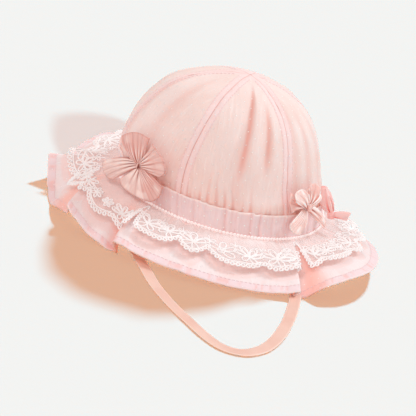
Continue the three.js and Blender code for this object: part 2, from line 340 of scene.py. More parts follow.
def rangeNode(tree, value, fromLow, fromHigh, toLow=0.0, toHigh=1.0):
    given = {"Value": value, "From Min": fromLow, "From Max": fromHigh, "To Min": toLow, "To Max": toHigh}
    return addNode(tree, "MapRange", given, interpolation_type="SMOOTHSTEP")


def noiseNode(tree, vector, scale, detail=2.0, roughness=0.5, output=0):
    given = {"Vector": vector, "Scale": scale, "Detail": detail, "Roughness": roughness}
    return addNode(tree, "TexNoise", given, output)


def mixColour(tree, share, first, second):
    return addNode(tree, "Mix", {0: share, 6: first, 7: second}, 2, data_type="RGBA")


def splitVector(tree, vector):
    return [addNode(tree, "SeparateXYZ", {0: vector}, part) for part in (0, 1)]


def painted(tree, colour, share, code):
    # the colour with a share of another colour over it
    return mixColour(tree, share, colour, tone(code))


def newGroup(name, outputs, **inputs):
    # inputs are given by a number or by the kind of their socket
    group = bpy.data.node_groups.new(name, "ShaderNodeTree")
    for label, value in inputs.items():
        kind = value if isinstance(value, str) else "Float"
        socket = group.interface.new_socket(label, in_out="INPUT", socket_type="NodeSocket" + kind)
        if kind == "Float":
            socket.default_value = value
    for label in outputs:
        kind = "Color" if label == "Color" else "Float"
        group.interface.new_socket(label, in_out="OUTPUT", socket_type="NodeSocket" + kind)
    return group, group.nodes.new("NodeGroupInput").outputs, group.nodes.new("NodeGroupOutput").inputs


def placeGroup(tree, group, **values):
    made = tree.nodes.new("ShaderNodeGroup")
    made.node_tree = group
    for label, value in values.items():
        feed(tree, made.inputs[label], value)
    return made.outputs


def makeWeave():
    # plain weave: threads over and under, uneven in thickness
    group, given, out = newGroup("plainWeave", ["Height", "Slub"], Vector="Vector", Pitch=0.0005)
    turns = mathNode(group, "DIVIDE", math.pi, given["Pitch"])
    wobble = noiseNode(group, given["Vector"], 900.0, 1.0)
    across, along = splitVector(group, vectorNode(group, "MULTIPLY", given["Vector"], turns))
    warp = mathNode(group, "ABSOLUTE", mathNode(group, "SINE", across))
    weft = mathNode(group, "ABSOLUTE", mathNode(group, "SINE", along))
    over = mathNode(group, "SINE", mathNode(group, "ADD", across, along))
    woven = addedUp(group, (mathNode(group, "ADD", warp, weft), 0.4), (over, 0.1))
    feed(group, out["Height"], timesNode(group, woven, mathNode(group, "ADD", wobble, 0.5)))
    long = vectorNode(group, "MULTIPLY", given["Vector"], (1.0, 0.05, 1.0))
    feed(group, out["Slub"], noiseNode(group, long, 2600.0, 1.0))
    return group


def makeCrinkle():
    # fine upright creases, as wide and as long as the inputs say
    group, given, out = newGroup("clothCrinkle", ["Height", "Ridge"], Vector="Vector", Width=0.002,
                                 Length=0.03)
    across, along = splitVector(group, given["Vector"])
    joined = addNode(group, "CombineXYZ", {0: mathNode(group, "DIVIDE", across, given["Width"]),
                                           1: mathNode(group, "DIVIDE", along, given["Length"])})
    creases = noiseNode(group, joined, 1.0, 3.0, 0.6)
    feed(group, out["Height"], creases)
    feed(group, out["Ridge"], rangeNode(group, creases, 0.5, 0.72))
    return group


def staggeredGap(group, cells, stretch):
    # distance to the nearest of the cells' middles, where every second row is moved by half a cell
    gaps = []
    for shift in (0.0, 0.5):
        cell = vectorNode(group, "FRACTION", vectorNode(group, "ADD", cells, (shift, shift, 0.0)))
        offset = vectorNode(group, "SUBTRACT", cell, (0.5, 0.5, 0.0))
        flat = vectorNode(group, "MULTIPLY", offset, (1.0, stretch, 0.0))
        gaps.append(vectorNode(group, "LENGTH", flat, output=1))
    return mathNode(group, "MINIMUM", *gaps)


def makeDots():
    # small woven dots in staggered rows
    group, given, out = newGroup("wovenDots", ["Mask"], Vector="Vector", Spacing=0.0105, Radius=0.0004)
    jitter = noiseNode(group, given["Vector"], 60.0, output=1)
    moved = vectorNode(group, "MULTIPLY", jitter, (0.002, 0.002, 0.0))
    moved = vectorNode(group, "ADD", given["Vector"], moved)
    cells = vectorNode(group, "DIVIDE", moved, given["Spacing"])
    nearest = timesNode(group, staggeredGap(group, cells, 1.0), given["Spacing"])
    outer = timesNode(group, given["Radius"], 1.35)
    feed(group, out["Mask"], rangeNode(group, nearest, given["Radius"], outer, 1.0, 0.0))
    return group


def makeMottle():
    # slow change between two colours, as in hand-washed cotton
    group, given, out = newGroup("softMottle", ["Color"], Vector="Vector", Scale=30.0, Color="Color",
                                 Deep="Color", Amount=0.5)
    cloud = noiseNode(group, given["Vector"], given["Scale"], 3.0, 0.55)
    share = timesNode(group, rangeNode(group, cloud, 0.3, 0.7), given["Amount"])
    feed(group, out["Color"], mixColour(group, share, given["Color"], given["Deep"]))
    return group


def makeNet():
    # fine round-holed net: 1 on the threads and 0 in the holes
    group, given, out = newGroup("fineNet", ["Mask"], Vector="Vector", Pitch=0.0011, Thread=0.3)
    cells = vectorNode(group, "DIVIDE", given["Vector"], given["Pitch"])
    rows = vectorNode(group, "MULTIPLY", cells, (1.0, 0.577, 0.0))  # set close, as in a honeycomb
    nearest = staggeredGap(group, rows, 1.733)
    rim = mathNode(group, "SUBTRACT", 0.56, given["Thread"])
    feed(group, out["Mask"], rangeNode(group, nearest, rim, mathNode(group, "ADD", rim, 0.12)))
    return group


def makeTwist():
    # the fine twist of a thread, and the deeper flecks that it shows
    group, given, out = newGroup("threadTwist", ["Height", "Fleck"], Vector="Vector", Scale=1500.0)
    twist = noiseNode(group, given["Vector"], given["Scale"], 2.0, 0.6)
    feed(group, out["Height"], twist)
    feed(group, out["Fleck"], rangeNode(group, twist, 0.45, 0.75, 0.0, 0.5))
    return group


def makeBorder():
    # a strip of another colour along a seam, a hem or a cut edge
    group, given, out = newGroup("clothBorder", ["Color"], Color="Color", Border="Color", Gap=1.0,
                                 Reach=0.001, Soft=0.0005, Share=0.5)
    outer = mathNode(group, "ADD", given["Reach"], given["Soft"])
    inside = rangeNode(group, given["Gap"], given["Reach"], outer, given["Share"], 0.0)
    feed(group, out["Color"], mixColour(group, inside, given["Color"], given["Border"]))
    return group


weaveGroup, crinkleGroup, dotGroup, mottleGroup, netGroup, twistGroup, borderGroup = [
    make() for make in (makeWeave, makeCrinkle, makeDots, makeMottle, makeNet, makeTwist, makeBorder)]


def readMask(tree, name):
    return addNode(tree, "Attribute", {}, "Fac", attribute_name=name)


def clothPlace(tree):
    return addNode(tree, "UVMap", {}, uv_map="cloth")


def newMaterial(name, roughness, look):
    # the glow is painted light: a weak emission that lightens and warms the shade of thin cloth and of
    # thread, standing in for light that comes through the cloth
    material = bpy.data.materials.new(name)
    material.use_nodes = True
    tree = material.node_tree
    shader = next(n for n in tree.nodes if n.type == "BSDF_PRINCIPLED")
    for label, value in (("Roughness", roughness), ("Sheen Weight", look["sheen"]), ("Sheen Roughness", 0.4),
                         ("Sheen Tint", tone(look["sheenTint"])), ("Specular IOR Level", look["specular"]),
                         ("Emission Color", tone(look["glow"])), ("Emission Strength", look["glowStrength"])):
        shader.inputs[label].default_value = value
    return material, tree, shader


def mottledCloth(tree, place, look, amount):
    return placeGroup(tree, mottleGroup, Vector=place, Scale=look["mottleScale"], Amount=amount,
                      Color=tone(look["colour"]), Deep=tone(look["deep"]))[0]


def borderedCloth(tree, colour, borders):
    for border in borders:
        colour = placeGroup(tree, borderGroup, Color=colour, Border=tone(border["colour"]),
                            Gap=readMask(tree, border["mask"]), Reach=border["reach"], Soft=border["soft"],
                            Share=border["share"])[0]
    return colour


def finishCloth(tree, shader, colour, height, depth=1 * mm, rough=None):
    tree.links.new(colour, shader.inputs["Base Color"])
    bump = addNode(tree, "Bump", {"Height": height, "Distance": depth, "Strength": 1.0})
    tree.links.new(bump, shader.inputs["Normal"])
    if rough is not None:
        tree.links.new(rough, shader.inputs["Roughness"])


def tinted(tree, colour, look):
    # painted shade and painted highlights: deeper colour in folds and hollows where shade falls, and paler
    # colour where light catches the ridges, where the look names the colours
    for mask in ("shade", "valley", "lustre"):
        if mask + "Colour" in look:
            colour = painted(tree, colour, readMask(tree, mask), look[mask + "Colour"])
    return colour


voileFinish = {
    # the glow is painted light, a warm emission that tints the voile's shade coral
    "specular": 0.25, "glow": "f39a86", "glowStrength": 0.1,
    "mottle": 0.8, "slubTint": 0.16, "slubRough": 0.12, "dotHeight": 0.25,
    "fineCrease": (0.4, 0.6, 0.35),  # width, length and depth as shares of the large creases
}


def voileMaterial(name, look):
    # crinkled cotton voile: woven ground, upright creases, woven dots, and borders beside seams and hems
    look = {**voileFinish, **look}
    material, tree, shader = newMaterial(name, look["roughness"], look)
    place = clothPlace(tree)
    woven = placeGroup(tree, weaveGroup, Vector=place, Pitch=look["pitch"])
    fineWidth, fineLength, fineDepth = look["fineCrease"]
    large, fine = [placeGroup(tree, crinkleGroup, Vector=place, Width=look["creaseWidth"] * width,
                              Length=look["creaseLength"] * length)
                   for width, length in ((1, 1), (fineWidth, fineLength))]
    colour = mottledCloth(tree, place, look, look["mottle"])
    # painted highlight: paler colour on the ridges of the large creases
    colour = painted(tree, colour, timesNode(tree, large["Ridge"], look["ridgeHighlight"]), look["pale"])
    colour = painted(tree, colour, timesNode(tree, woven["Slub"], look["slubTint"]), look["deep"])
    depth = look["creaseDepth"]
    height = addedUp(tree, (large["Height"], depth), (fine["Height"], fineDepth * depth),
                     (woven["Height"], look["threadDepth"]))
    colour = tinted(tree, borderedCloth(tree, colour, look["borders"]), look)
    if look["dotRadius"]:
        spacing, radius = look["dotSpacing"], look["dotRadius"]
        dots = placeGroup(tree, dotGroup, Vector=place, Spacing=spacing, Radius=radius)[0]
        colour = painted(tree, colour, timesNode(tree, dots, look["dotShare"]), "ffffff")
        height = mathNode(tree, "MULTIPLY_ADD", dots, look["dotHeight"], height)
    least = look["roughness"] - 0.5 * look["slubRough"]
    rough = mathNode(tree, "MULTIPLY_ADD", woven["Slub"], look["slubRough"], least)
    finishCloth(tree, shader, colour, height, rough=rough)
    return material


satinFinish = {
    # the glow is painted light, a warm emission that tints the satin's shade coral
    "specular": 0.5, "glow": "f39a86", "glowStrength": 0.08,
    "mottle": 0.7, "floatHeight": 0.12, "floatRough": 0.25, "weaveHeight": 0.04,
    "floatStretch": (14.0, 1.0, 1.0), "floatWidth": 12 * mm, "floatLength": 30 * mm, "pitch": 0.4 * mm,
}


def satinMaterial(name, look):
    # satin ribbon: long floats along the ribbon, woven edges and a soft gloss
    look = {**satinFinish, **look}
    material, tree, shader = newMaterial(name, look["roughness"], look)
    place = clothPlace(tree)
    along = vectorNode(tree, "MULTIPLY", place, look["floatStretch"])
    floats = placeGroup(tree, crinkleGroup, Vector=along, Width=look["floatWidth"],
                        Length=look["floatLength"])
    woven = placeGroup(tree, weaveGroup, Vector=place, Pitch=look["pitch"])
    colour = borderedCloth(tree, mottledCloth(tree, place, look, look["mottle"]), look["borders"])
    height = addedUp(tree, (floats["Height"], look["floatHeight"]), (woven["Height"], look["weaveHeight"]))
    rough = mathNode(tree, "MULTIPLY_ADD", floats["Height"], look["floatRough"], look["roughness"] - 0.12)
    finishCloth(tree, shader, tinted(tree, colour, look), height, rough=rough)
    return material


threadFinish = {
    # the glow is painted light, an emission that whitens the thread's shade
    "sheen": 0.25, "sheenTint": "ffffff", "specular": 0.35, "glow": "ffe6e0", "mottleScale": 90.0,
    "twistScale": 1500.0, "twistHeight": 0.15 * mm,
}


def threadMaterial(name, colour, deep, roughness, glow=0.05):
    # twisted thread of the stitches and of the lace's embroidery; glow is the strength of its painted light,
    # an emission that whitens its shade
    look = {**threadFinish, "colour": colour, "deep": deep, "glowStrength": glow}
    material, tree, shader = newMaterial(name, roughness, look)
    coordinates = addNode(tree, "TexCoord", {}, "Object")
    twist = placeGroup(tree, twistGroup, Vector=coordinates, Scale=look["twistScale"])
    colour = painted(tree, mottledCloth(tree, coordinates, look, 0.6), twist["Fleck"], deep)
    finishCloth(tree, shader, colour, twist["Height"], look["twistHeight"])
    return material


# the hat at rest: it leans forward and to one side on its brim

hatRest = {"leanForward": 3.72, "leanSide": 1.71, "rideHeight": 26 * mm, "shift": (3.6 * mm, 0.7 * mm)}
settleMatrix = np.array(
    Matrix.Translation((*hatRest["shift"], hatRest["rideHeight"]))
    @ Matrix.Rotation(math.radians(hatRest["leanSide"]), 4, "Y")
    @ Matrix.Rotation(math.radians(hatRest["leanForward"]), 4, "X"))


def settledNormals(normals):
    return normals @ settleMatrix[:3, :3].T


def settled(points):
    return settledNormals(points) + settleMatrix[:3, 3]


def polar(azimuth, radius, height, lean=0.0):
    # azimuth 0 is the front and 90 the side with the satin bow
    turn = np.radians(azimuth)
    return np.stack(np.broadcast_arrays(lean + radius * np.sin(turn), -radius * np.cos(turn), height), -1)


# chin strap: a flat satin ribbon sewn inside the band at both sides and laid on the surface

strapLook = {
    "width": 8 * mm,
    "wall": 1 * mm,
    "steps": 420,
    "turn": (2 * mm, 22 * mm),  # the heights between which it turns from lying flat to the band's side
    "colour": "e6c3b6", "deep": "dcae9f",
    "borders": [{"mask": "edgeGap", "reach": 0.5 * mm, "soft": 0.4 * mm, "share": 0.7, "colour": "f3d9cd"}],
    "roughness": 0.45, "sheen": 0.25, "sheenTint": "fff0e8", "mottleScale": 40.0,
}
strapRoute = [  # millimetres, from inside the band at one side round to the other
    (-62, -41.1, 38), (-60.3, -40.4, 29), (-59.5, -40.6, 19), (-58.4, -45.3, 8), (-55.4, -57.3, 1.8),
    (-48.4, -80.3, 0.7), (-39.2, -105.6, 0.7), (-29.4, -128.9, 0.7), (-20.4, -149.4, 0.7), (-6.2, -173, 0.7),
    (7.2, -190.7, 0.7), (18.7, -204.9, 0.7), (29.6, -213.6, 0.7), (40.6, -213.9, 0.7), (51.1, -204.3, 0.7),
    (58.6, -188.3, 0.7), (64.1, -166.3, 0.7), (67.8, -142.3, 0.7), (70.2, -115.3, 0.7), (70.6, -89.3, 0.7),
    (69.2, -61.3, 1.8), (67.4, -46.3, 8), (66.6, -40.6, 17), (66, -40.4, 26), (64.5, -41.1, 34.5),
]


def ribbonAlong(name, path, across, width, wall, material, sides=16):
    # a ribbon of rounded flat section along the path, with its width in the direction given at each point
    wide, high = [0.5 * size * np.sign(part) * np.abs(part) ** 0.6
                  for size, part in zip((width, wall), circlePoints(sides).T)]
    tangents = unit(np.gradient(path, axis=0))
    side = unit(across - tangents * np.sum(across * tangents, 1, keepdims=True))
    verts, faces, corners = sweep(path, side, np.cross(side, tangents), wide, high)
    gone = goneAlong(path)
    uvs = np.stack([np.stack([wide[column], gone[row]], 1) for row, column in corners], 1)
    caps = np.zeros((2 * sides, 2))
    edgeGap = np.tile(0.5 * width - np.abs(wide), len(path))
    return newPiece(name, verts, faces, material, np.vstack([uvs.reshape(-1, 2), caps]), {"edgeGap": edgeGap})


def makeStrap(look):
    path, length = evenPath(np.array(strapRoute) * mm, look["steps"])
    tangents = unit(np.gradient(path, axis=0))
    flat = unit(np.stack([-tangents[:, 1], tangents[:, 0], 0 * tangents[:, 0]], 1))
    sewn = unit(np.stack([-path[:, 1], path[:, 0], 0 * path[:, 0]], 1))
    sewn *= np.where(np.sum(sewn * flat, 1) < 0, -1, 1)[:, None]
    across = lerp(flat, sewn, smooth(path[:, 2], *look["turn"])[:, None])
    material = satinMaterial("strapSatin", look)
    strap = ribbonAlong("chinStrap", path, across, look["width"], look["wall"], material)
    keepPiece(strap, "chin_strap")
    return length


strapLength = makeStrap(strapLook)
print("chin strap laid,", round(float(strapLength), 4), "m")


# crown: six panels of voile with gathers at the band, soft upright folds and topstitched seams

voileLook = {  # what the crown's, the band's and the brim's cloth have in common
    "roughness": 0.85, "sheen": 0.25, "pitch": 0.5 * mm, "threadDepth": 0.03, "dotSpacing": 9.6 * mm,
}
crownLook = {
    **voileLook,
    "wall": 1.0 * mm,
    "panels": 6, "firstSeam": -16.5, "puff": 1.3 * mm, "tip": 0.3 * mm, "gap": 0.01 * mm,
    "columns": 96, "rows": 110,
    "gatherDepth": 1.0 * mm, "gatherHeight": 13 * mm, "gatherPitch": 3.1 * mm,
    "overhang": 0.5 * mm, "overhangAt": 6 * mm, "overhangHalf": 4 * mm, "footTuck": 0.6 * mm,
    "footHalf": 2 * mm, "seamGroove": 0.1 * mm, "grooveHalf": 0.5 * mm, "seamAllowance": 0.3 * mm,
    "allowanceEdges": ((0.8 * mm, 2 * mm), (3.9 * mm, 4.9 * mm)), "stitchGap": 4.2 * mm,
    "stitchDip": 0.18 * mm, "seamPucker": (0.22 * mm, 3.6 * mm, 9 * mm), "puckerReach": 6 * mm,
    "slack": (0.28 * mm, 5 * mm, 26 * mm), "crumple": (0.1 * mm, 1.9 * mm, 15 * mm),
    "colour": "eadcda", "deep": "e6cfca", "pale": "f3ecea", "ridgeHighlight": 0.35,
    # painted shade: in the hollows, at the folds' feet, at the crown's foot and, more weakly, over its lower
    # part
    "shadeColour": "f0c3ba", "valleyColour": "dd9b90", "foldFootShade": 0.8, "footShade": 0.25, "lowShade": 0.1,
    "lowShadeFrom": (5 * mm, 50 * mm), "clothStep": 0.2,  # from one panel's place on the cloth to the next
    "sheenTint": "fff2ee", "mottleScale": 22.0,
    "creaseWidth": 1.7 * mm, "creaseLength": 16 * mm, "creaseDepth": 0.22,
    "dotRadius": 0.4 * mm, "dotShare": 0.62,
    "borders": [
        {"mask": "seamGap", "reach": 4.4 * mm, "soft": 0.5 * mm, "share": 0.32, "colour": "f3d5dd"},
        {"mask": "seamGap", "reach": 0.2 * mm, "soft": 0.35 * mm, "share": 0.6, "colour": "dfa8a2"},
    ],
}
crownProfile = [  # height, radius, lean to one side
    (17, 78.3, -3.5), (32, 74.5, -6.3), (47, 69.2, -6.8), (60, 62.6, -6.2), (71, 54.5, -5.6),
    (80, 43.5, -5), (86.7, 29.5, -4.2), (91, 14, -3.6), (92.3, 0, -3),
]
crownFolds = [  # azimuth of the crest, height, degrees of its two slopes, lowest and highest rise
    (16.5, 2.5, 2.4, 6.5, 0.2, 0.9), (10.5, -1.0, 5, 3, 0.1, 0.8), (31, 2.1, 2.2, 4.5, 0.27, 0.74),
    (25.5, -0.9, 3.5, 2.5, 0.25, 0.74), (17, 1.0, 3, 4, 0.02, 0.3), (54, 0.9, 3, 5, 0.0, 0.8),
    (66, 0.9, 3, 4, 0.05, 0.7), (80, 0.8, 3, 5, 0.0, 0.7), (-36, 0.8, 6, 10, 0.25, 0.85),
    (-62, 0.9, 6, 6, 0.0, 0.8), (130, 1.2, 3, 6, 0.05, 0.8), (182, 1.2, 4, 7, 0.1, 0.85),
    (214, 1.3, 3, 5, 0.0, 0.7), (258, 1.1, 4, 6, 0.1, 0.8),
]
profileRows = np.array([(radius, lean, height) for height, radius, lean in crownProfile]) * mm
profileLine, crownLength = evenPath(profileRows, 400)


def profileAt(rise):
    marks = np.linspace(0, 1, len(profileLine))
    return [np.interp(rise, marks, profileLine[:, k]) for k in range(3)]


def crownBase(azimuth, rise):
    radius, lean, height = profileAt(rise)
    span = 360 / crownLook["panels"]
    across = np.mod(azimuth - crownLook["firstSeam"], span) / span
    fullness = np.sin(math.pi * np.clip(rise, 0, 1)) ** 0.5
    radius = radius + crownLook["puff"] * np.sin(math.pi * across) * fullness
    return polar(azimuth, radius, height, lean)


def crownFold(azimuth, rise):
    # how high the folds stand, and the line at the foot of each fold's steep side, where shade is painted
    height, hollow = 0, 0
    for place, tall, before, after, low, high in crownFolds:
        away = degreesFrom(azimuth, place)
        begun = smooth(rise, low - 0.1, low + 0.12)
        crest = begun * (1 - smooth(rise, high - 0.3, high))
        height = height + tall * mm * bell(away, np.where(away < 0, before, after)) * crest
        foot = bell(away + 1.5 * before, 0.8 * before) * begun * (1 - smooth(rise, high - 0.25, high))
        hollow = np.maximum(hollow, max(tall, 0) / 2.5 * foot)
    return height, hollow


def gatherRelief(azimuth, up, seed, pitch):
    # sharp uneven little pleats beside a gathered seam, up is the distance from it
    cells = round(2 * math.pi * crownProfile[0][1] * mm / pitch)
    u = np.mod(azimuth, 360) / 360 * cells
    ridges = 1 - 2 * np.abs(softNoise(u, 0.6 + up / (14 * mm), seed, cells)) ** 0.7
    tall = 0.55 + 0.45 * softNoise(u / 2, 0.5, seed + 1, cells // 2)
    strong = 0.45 + 0.75 * np.abs(softNoise(u / 3, 0.3, seed + 2, cells // 3))
    return ridges * strong * np.exp(-up / (tall * crownLook["gatherHeight"] + 2 * mm))


def hollows(relief, reach=5, depth=0.32 * mm):
    # 1 where a column of the cloth lies deeper than its neighbours on both sides
    around = sum(np.roll(relief, k, 1) for k in range(-reach, reach + 1)) / (2 * reach + 1)
    found = np.clip((around - relief) / depth, 0, 1)
    found[:, :reach] = found[:, reach:reach + 1]
    found[:, -reach:] = found[:, -reach - 1:-reach]
    return found


def makeCrownPanel(index, material, look):
    span = 360 / look["panels"]
    seam = look["firstSeam"] + span * index
    across = np.linspace(0, 1, look["columns"] + 1)
    across = across - 0.06 * np.sin(2 * math.pi * across) / math.pi  # closer columns beside the seams
    rise = np.linspace(0, 1 - look["tip"] / crownLength, look["rows"] + 1)
    a, r = np.meshgrid(across, rise)
    radius = np.maximum(profileAt(r)[0], look["tip"])
    margin = np.degrees(np.arcsin(np.clip(look["gap"] / radius, 0, 0.9)))
    azimuth = seam + margin + (span - 2 * margin) * a
    grid = crownBase(azimuth, r)
    normals = gridNormals(grid, False)
    up = r * crownLength
    toSeam = np.radians(np.minimum(a, 1 - a) * span) * radius
    wide = np.radians((a - 0.5) * span) * radius + look["clothStep"] * index
    relief, foldFoot = crownFold(azimuth, r)
    relief += look["gatherDepth"] * gatherRelief(azimuth, up, 11, look["gatherPitch"])
    relief += (look["overhang"] * bell(up - look["overhangAt"], look["overhangHalf"])
               - look["footTuck"] * bell(up, look["footHalf"]))
    relief += waves(look["seamPucker"], up, toSeam, 23) * np.exp(-toSeam / look["puckerReach"])
    relief -= look["seamGroove"] * bell(toSeam, look["grooveHalf"])
    nearEdge, farEdge = look["allowanceEdges"]
    relief += look["seamAllowance"] * (smooth(toSeam, *nearEdge) * (1 - smooth(toSeam, *farEdge)))
    relief -= look["stitchDip"] * bell(toSeam - look["stitchGap"], look["grooveHalf"])
    relief += waves(look["slack"], wide, up, 21) * np.sin(math.pi * r) ** 0.5
    relief += waves(look["crumple"], wide, up, 22)
    grid = grid + normals * relief[..., None]
    # painted shade in the gathers' hollows and at the folds' feet, and painted shade above the band,
    # strongest at the crown's foot
    valley = hollows(relief, 3, 0.24 * mm) * (0.15 + 0.6 * np.exp(-up / (12 * mm)))
    valley = np.maximum(valley, look["foldFootShade"] * foldFoot)
    shade = look["footShade"] * bell(up, 6 * mm) + look["lowShade"] * (1 - smooth(up, *look["lowShadeFrom"]))
    uv = np.stack([wide, up], -1)
    piece = clothPiece(f"crownPanel{index + 1}", settled(grid), look["wall"], uv, material,
                       masks={"seamGap": toSeam, "valley": valley, "shade": shade})
    keepPiece(piece, f"crown_panel_{index + 1}")
    return grid, normals, toSeam


crownMaterial = voileMaterial("crownVoile", crownLook)
panelGrids = [makeCrownPanel(k, crownMaterial, crownLook) for k in range(crownLook["panels"])]
print("crown sewn from", len(panelGrids), "panels")


# topstitching on both sides of each crown seam

stitchLook = {
    "length": 2.0 * mm, "step": 2.9 * mm, "width": 0.16 * mm, "height": 0.14 * mm,
    "crownColour": "eccaca", "crownDeep": "e0b4b5", "hemColour": "eccdd0", "hemDeep": "e4bec2",
}


def stitchRow(path, normals, look):
    # one short thread after another along the path
    gone = goneAlong(path)
    parts = []
    start = 0.5 * look["step"]
    while start + look["length"] < gone[-1]:
        marks = start + look["length"] * np.linspace(0, 1, 5)
        line, up = pointsAt(marks, gone, path), unit(pointsAt(marks, gone, normals))
        arch = np.array([-0.6, 0.5, 0.8, 0.5, -0.6])[:, None] * look["height"]  # both ends go into the cloth
        parts.append(tubeParts(line + up * arch, up, look["width"], look["height"], 6))
        start += look["step"]
    return parts


def makeCrownStitches(look):
    parts = []
    gap = crownLook["stitchGap"]
    half = crownLook["columns"] // 2
    for panel in panelGrids:
        for columns in (np.arange(half + 1), np.arange(2 * half, half - 1, -1)):
            grid, normals, toSeam = [values[2:, columns] for values in panel]
            rows = np.flatnonzero(toSeam.max(1) > gap + 0.5 * mm)
            path, out = [np.array([pointsAt([gap], toSeam[k], values[k])[0] for k in rows])
                         for values in (grid, normals)]
            parts += stitchRow(settled(path), settledNormals(out), look)
    thread = threadMaterial("seamThread", look["crownColour"], look["crownDeep"], 0.6)
    threadPiece("crownStitches", parts, thread)


makeCrownStitches(stitchLook)
print("crown seams topstitched")


# band: a ring of gathered voile between the crown and the brim

bandLook = {
    **voileLook,
    "radius": 78.5 * mm, "topRadius": 78.3 * mm, "height": 17 * mm, "lean": -3.5 * mm, "wall": 1.1 * mm,
    "columns": 720, "rows": 22, "bulge": 0.5 * mm, "lip": 1.0 * mm, "lipRise": 1.0 * mm, "lipWave": 0.5 * mm,
    "footGathers": 0.5 * mm, "footPitch": 5.2 * mm, "topGathers": 0.75 * mm, "lipWaves": 90,
    "crinkleDepth": 0.3 * mm, "crinkles": 110, "footShade": 0.15,
    "creases": [(7.5, 0.9), (13, 0.4), (21, 0.8), (26, 0.9), (33, 0.5), (-9, 0.5), (-18, 0.6), (-30, 0.4),
                (60, 0.5)],  # azimuth and depth in millimetres
    # painted highlight on the crease ridges, and painted shade in the creases, in the hollows and at the
    # band's foot
    "colour": "eedddf", "deep": "e8d2d5", "pale": "f5ecee", "ridgeHighlight": 0.5,
    "shadeColour": "e9b4ae", "valleyColour": "dc9f9b", "sheenTint": "fff2f2", "mottleScale": 26.0,
    "creaseWidth": 1.5 * mm, "creaseLength": 14 * mm, "creaseDepth": 0.3,
    "dotRadius": 0.46 * mm, "dotShare": 0.85,
    # the paler strip along both edges is a painted highlight, for the band's lip catching the light
    "borders": [{"mask": "edgeGap", "reach": 0.5 * mm, "soft": 1.1 * mm, "share": 0.6, "colour": "fbeeea"}],
}


def bandSurface(azimuth, share):
    height = share * bandLook["height"]
    radius = lerp(bandLook["radius"], bandLook["topRadius"], share)
    return polar(azimuth, radius, height, bandLook["lean"] * share)


def makeBand(look):
    azimuth = np.linspace(180, 540, look["columns"], endpoint=False)
    share = np.linspace(0, 1, look["rows"] + 1)
    a, v = np.meshgrid(azimuth, share)
    grid = bandSurface(a, v)
    normals = gridNormals(grid, True)
    up = v * look["height"]
    turned = np.mod(a, 360) / 360
    relief = look["bulge"] * np.sin(math.pi * v) ** 0.5
    relief += look["footGathers"] * gatherRelief(a, up, 31, look["footPitch"])
    relief += look["topGathers"] * gatherRelief(a, look["height"] - up, 11, crownLook["gatherPitch"])
    crinkles = softNoise(turned * look["crinkles"], 0.4 + v, 33, look["crinkles"])
    relief += look["crinkleDepth"] * (1 - 2.4 * np.clip(np.abs(crinkles), 0, 0.4) ** 0.8)
    relief += look["lip"] * smooth(v, 0.6, 1)
    crease = 0.0
    for place, depth in look["creases"]:
        away = degreesFrom(a, place)
        relief += depth * mm * (0.7 * bell(away - 1.5, 1.3) - bell(away, 0.7))
        crease = np.maximum(crease, depth * bell(away, 0.6))
    grid = grid + normals * relief[..., None]
    lipWave = look["lipWave"] * softNoise(turned * look["lipWaves"], 0.5, 34, look["lipWaves"])
    grid[..., 2] += (look["lipRise"] + lipWave) * smooth(v, 0.6, 1)
    uv = np.stack([np.radians(np.append(azimuth, 540))[None] * look["radius"] + 0 * share[:, None],
                   np.repeat((share * look["height"])[:, None], look["columns"] + 1, 1)], -1)
    material = voileMaterial("bandVoile", look)
    # painted shade: in the hollows and creases, and at the band's foot
    piece = clothPiece("hatBand", settled(grid), look["wall"], uv, material, closed=True,
                       masks={"edgeGap": np.minimum(up, look["height"] - up),
                              "valley": np.maximum(0.2 * hollows(relief, 3), 0.45 * crease),
                              "shade": look["footShade"] * (1 - smooth(v, 0, 0.15))})
    keepPiece(piece, "hat_band")


makeBand(bandLook)
print("band sewn on")


# brim: fluted voile with a stitched hem

brimLook = {
    **voileLook,
    "headRadius": 78.5 * mm, "droop": 1.3, "turn": 1.2, "wall": 1.1 * mm,
    "stationsPerRow": 16, "rows": 44,
    "hem": 6.2 * mm, "hemStep": 0.35 * mm, "pucker": 0.35 * mm, "puckerPitch": 5.5 * mm,
    "puckerLength": 9 * mm, "puckerReach": (5 * mm, 16 * mm),
    # the pinch share is painted shade in the hem's pinches between stitches
    "stitchPull": -0.4 * mm, "pullPitch": 4.4 * mm, "pullHalf": 2.6 * mm, "pinchShade": 0.5,
    "gatherDepth": 0.8 * mm, "gatherPitch": 5 * mm, "gatherLength": 20 * mm, "gatherReach": 9 * mm,
    "swell": 0.7 * mm, "swellPitch": 24 * mm, "swellFrom": (0.1, 0.5),
    # painted shade: the shadow below the lace's edge and the shadows beside the pleats
    "edgeShade": 0.28, "tuckShade": 0.85,
    "tucks": [(48.5, 3.2), (320, 3.6), (287, 3.4)],  # root azimuth and half width of the painted shadows beside the pleats
    "laceShadow": [  # root azimuth and the share of the brim that the painted shadow below the lace's edge covers
        (0, 0.1), (12, 0.08), (25, 0.05), (60, 0.05), (100, 0.06), (270, 0.06), (300, 0.1), (325, 0.12),
        (345, 0.12), (360, 0.1)],
    "colour": "e8e0e2", "deep": "e4d7d9", "pale": "f1eced", "ridgeHighlight": 0.4,
    # colours of the painted shade, and of the painted shade in hollows and pinches
    "shadeColour": "f0b4a8", "valleyColour": "e8aaa0", "sheenTint": "fff4f2", "mottleScale": 24.0,
    "creaseWidth": 2.0 * mm, "creaseLength": 12 * mm, "creaseDepth": 0.16,
    "dotRadius": 0.4 * mm, "dotShare": 0.45,
    "borders": [
        # painted shade: the brim is a deeper coral under the lace
        {"mask": "underLace", "reach": 0.5, "soft": 0.4, "share": 0.6, "colour": "ecccc6"},
        {"mask": "hemGap", "reach": 6.0 * mm, "soft": 0.4 * mm, "share": 0.65, "colour": "e5cdd4"},
        {"mask": "hemGap", "reach": 0.3 * mm, "soft": 0.5 * mm, "share": 0.6, "colour": "fdf1ee"},
    ],
}
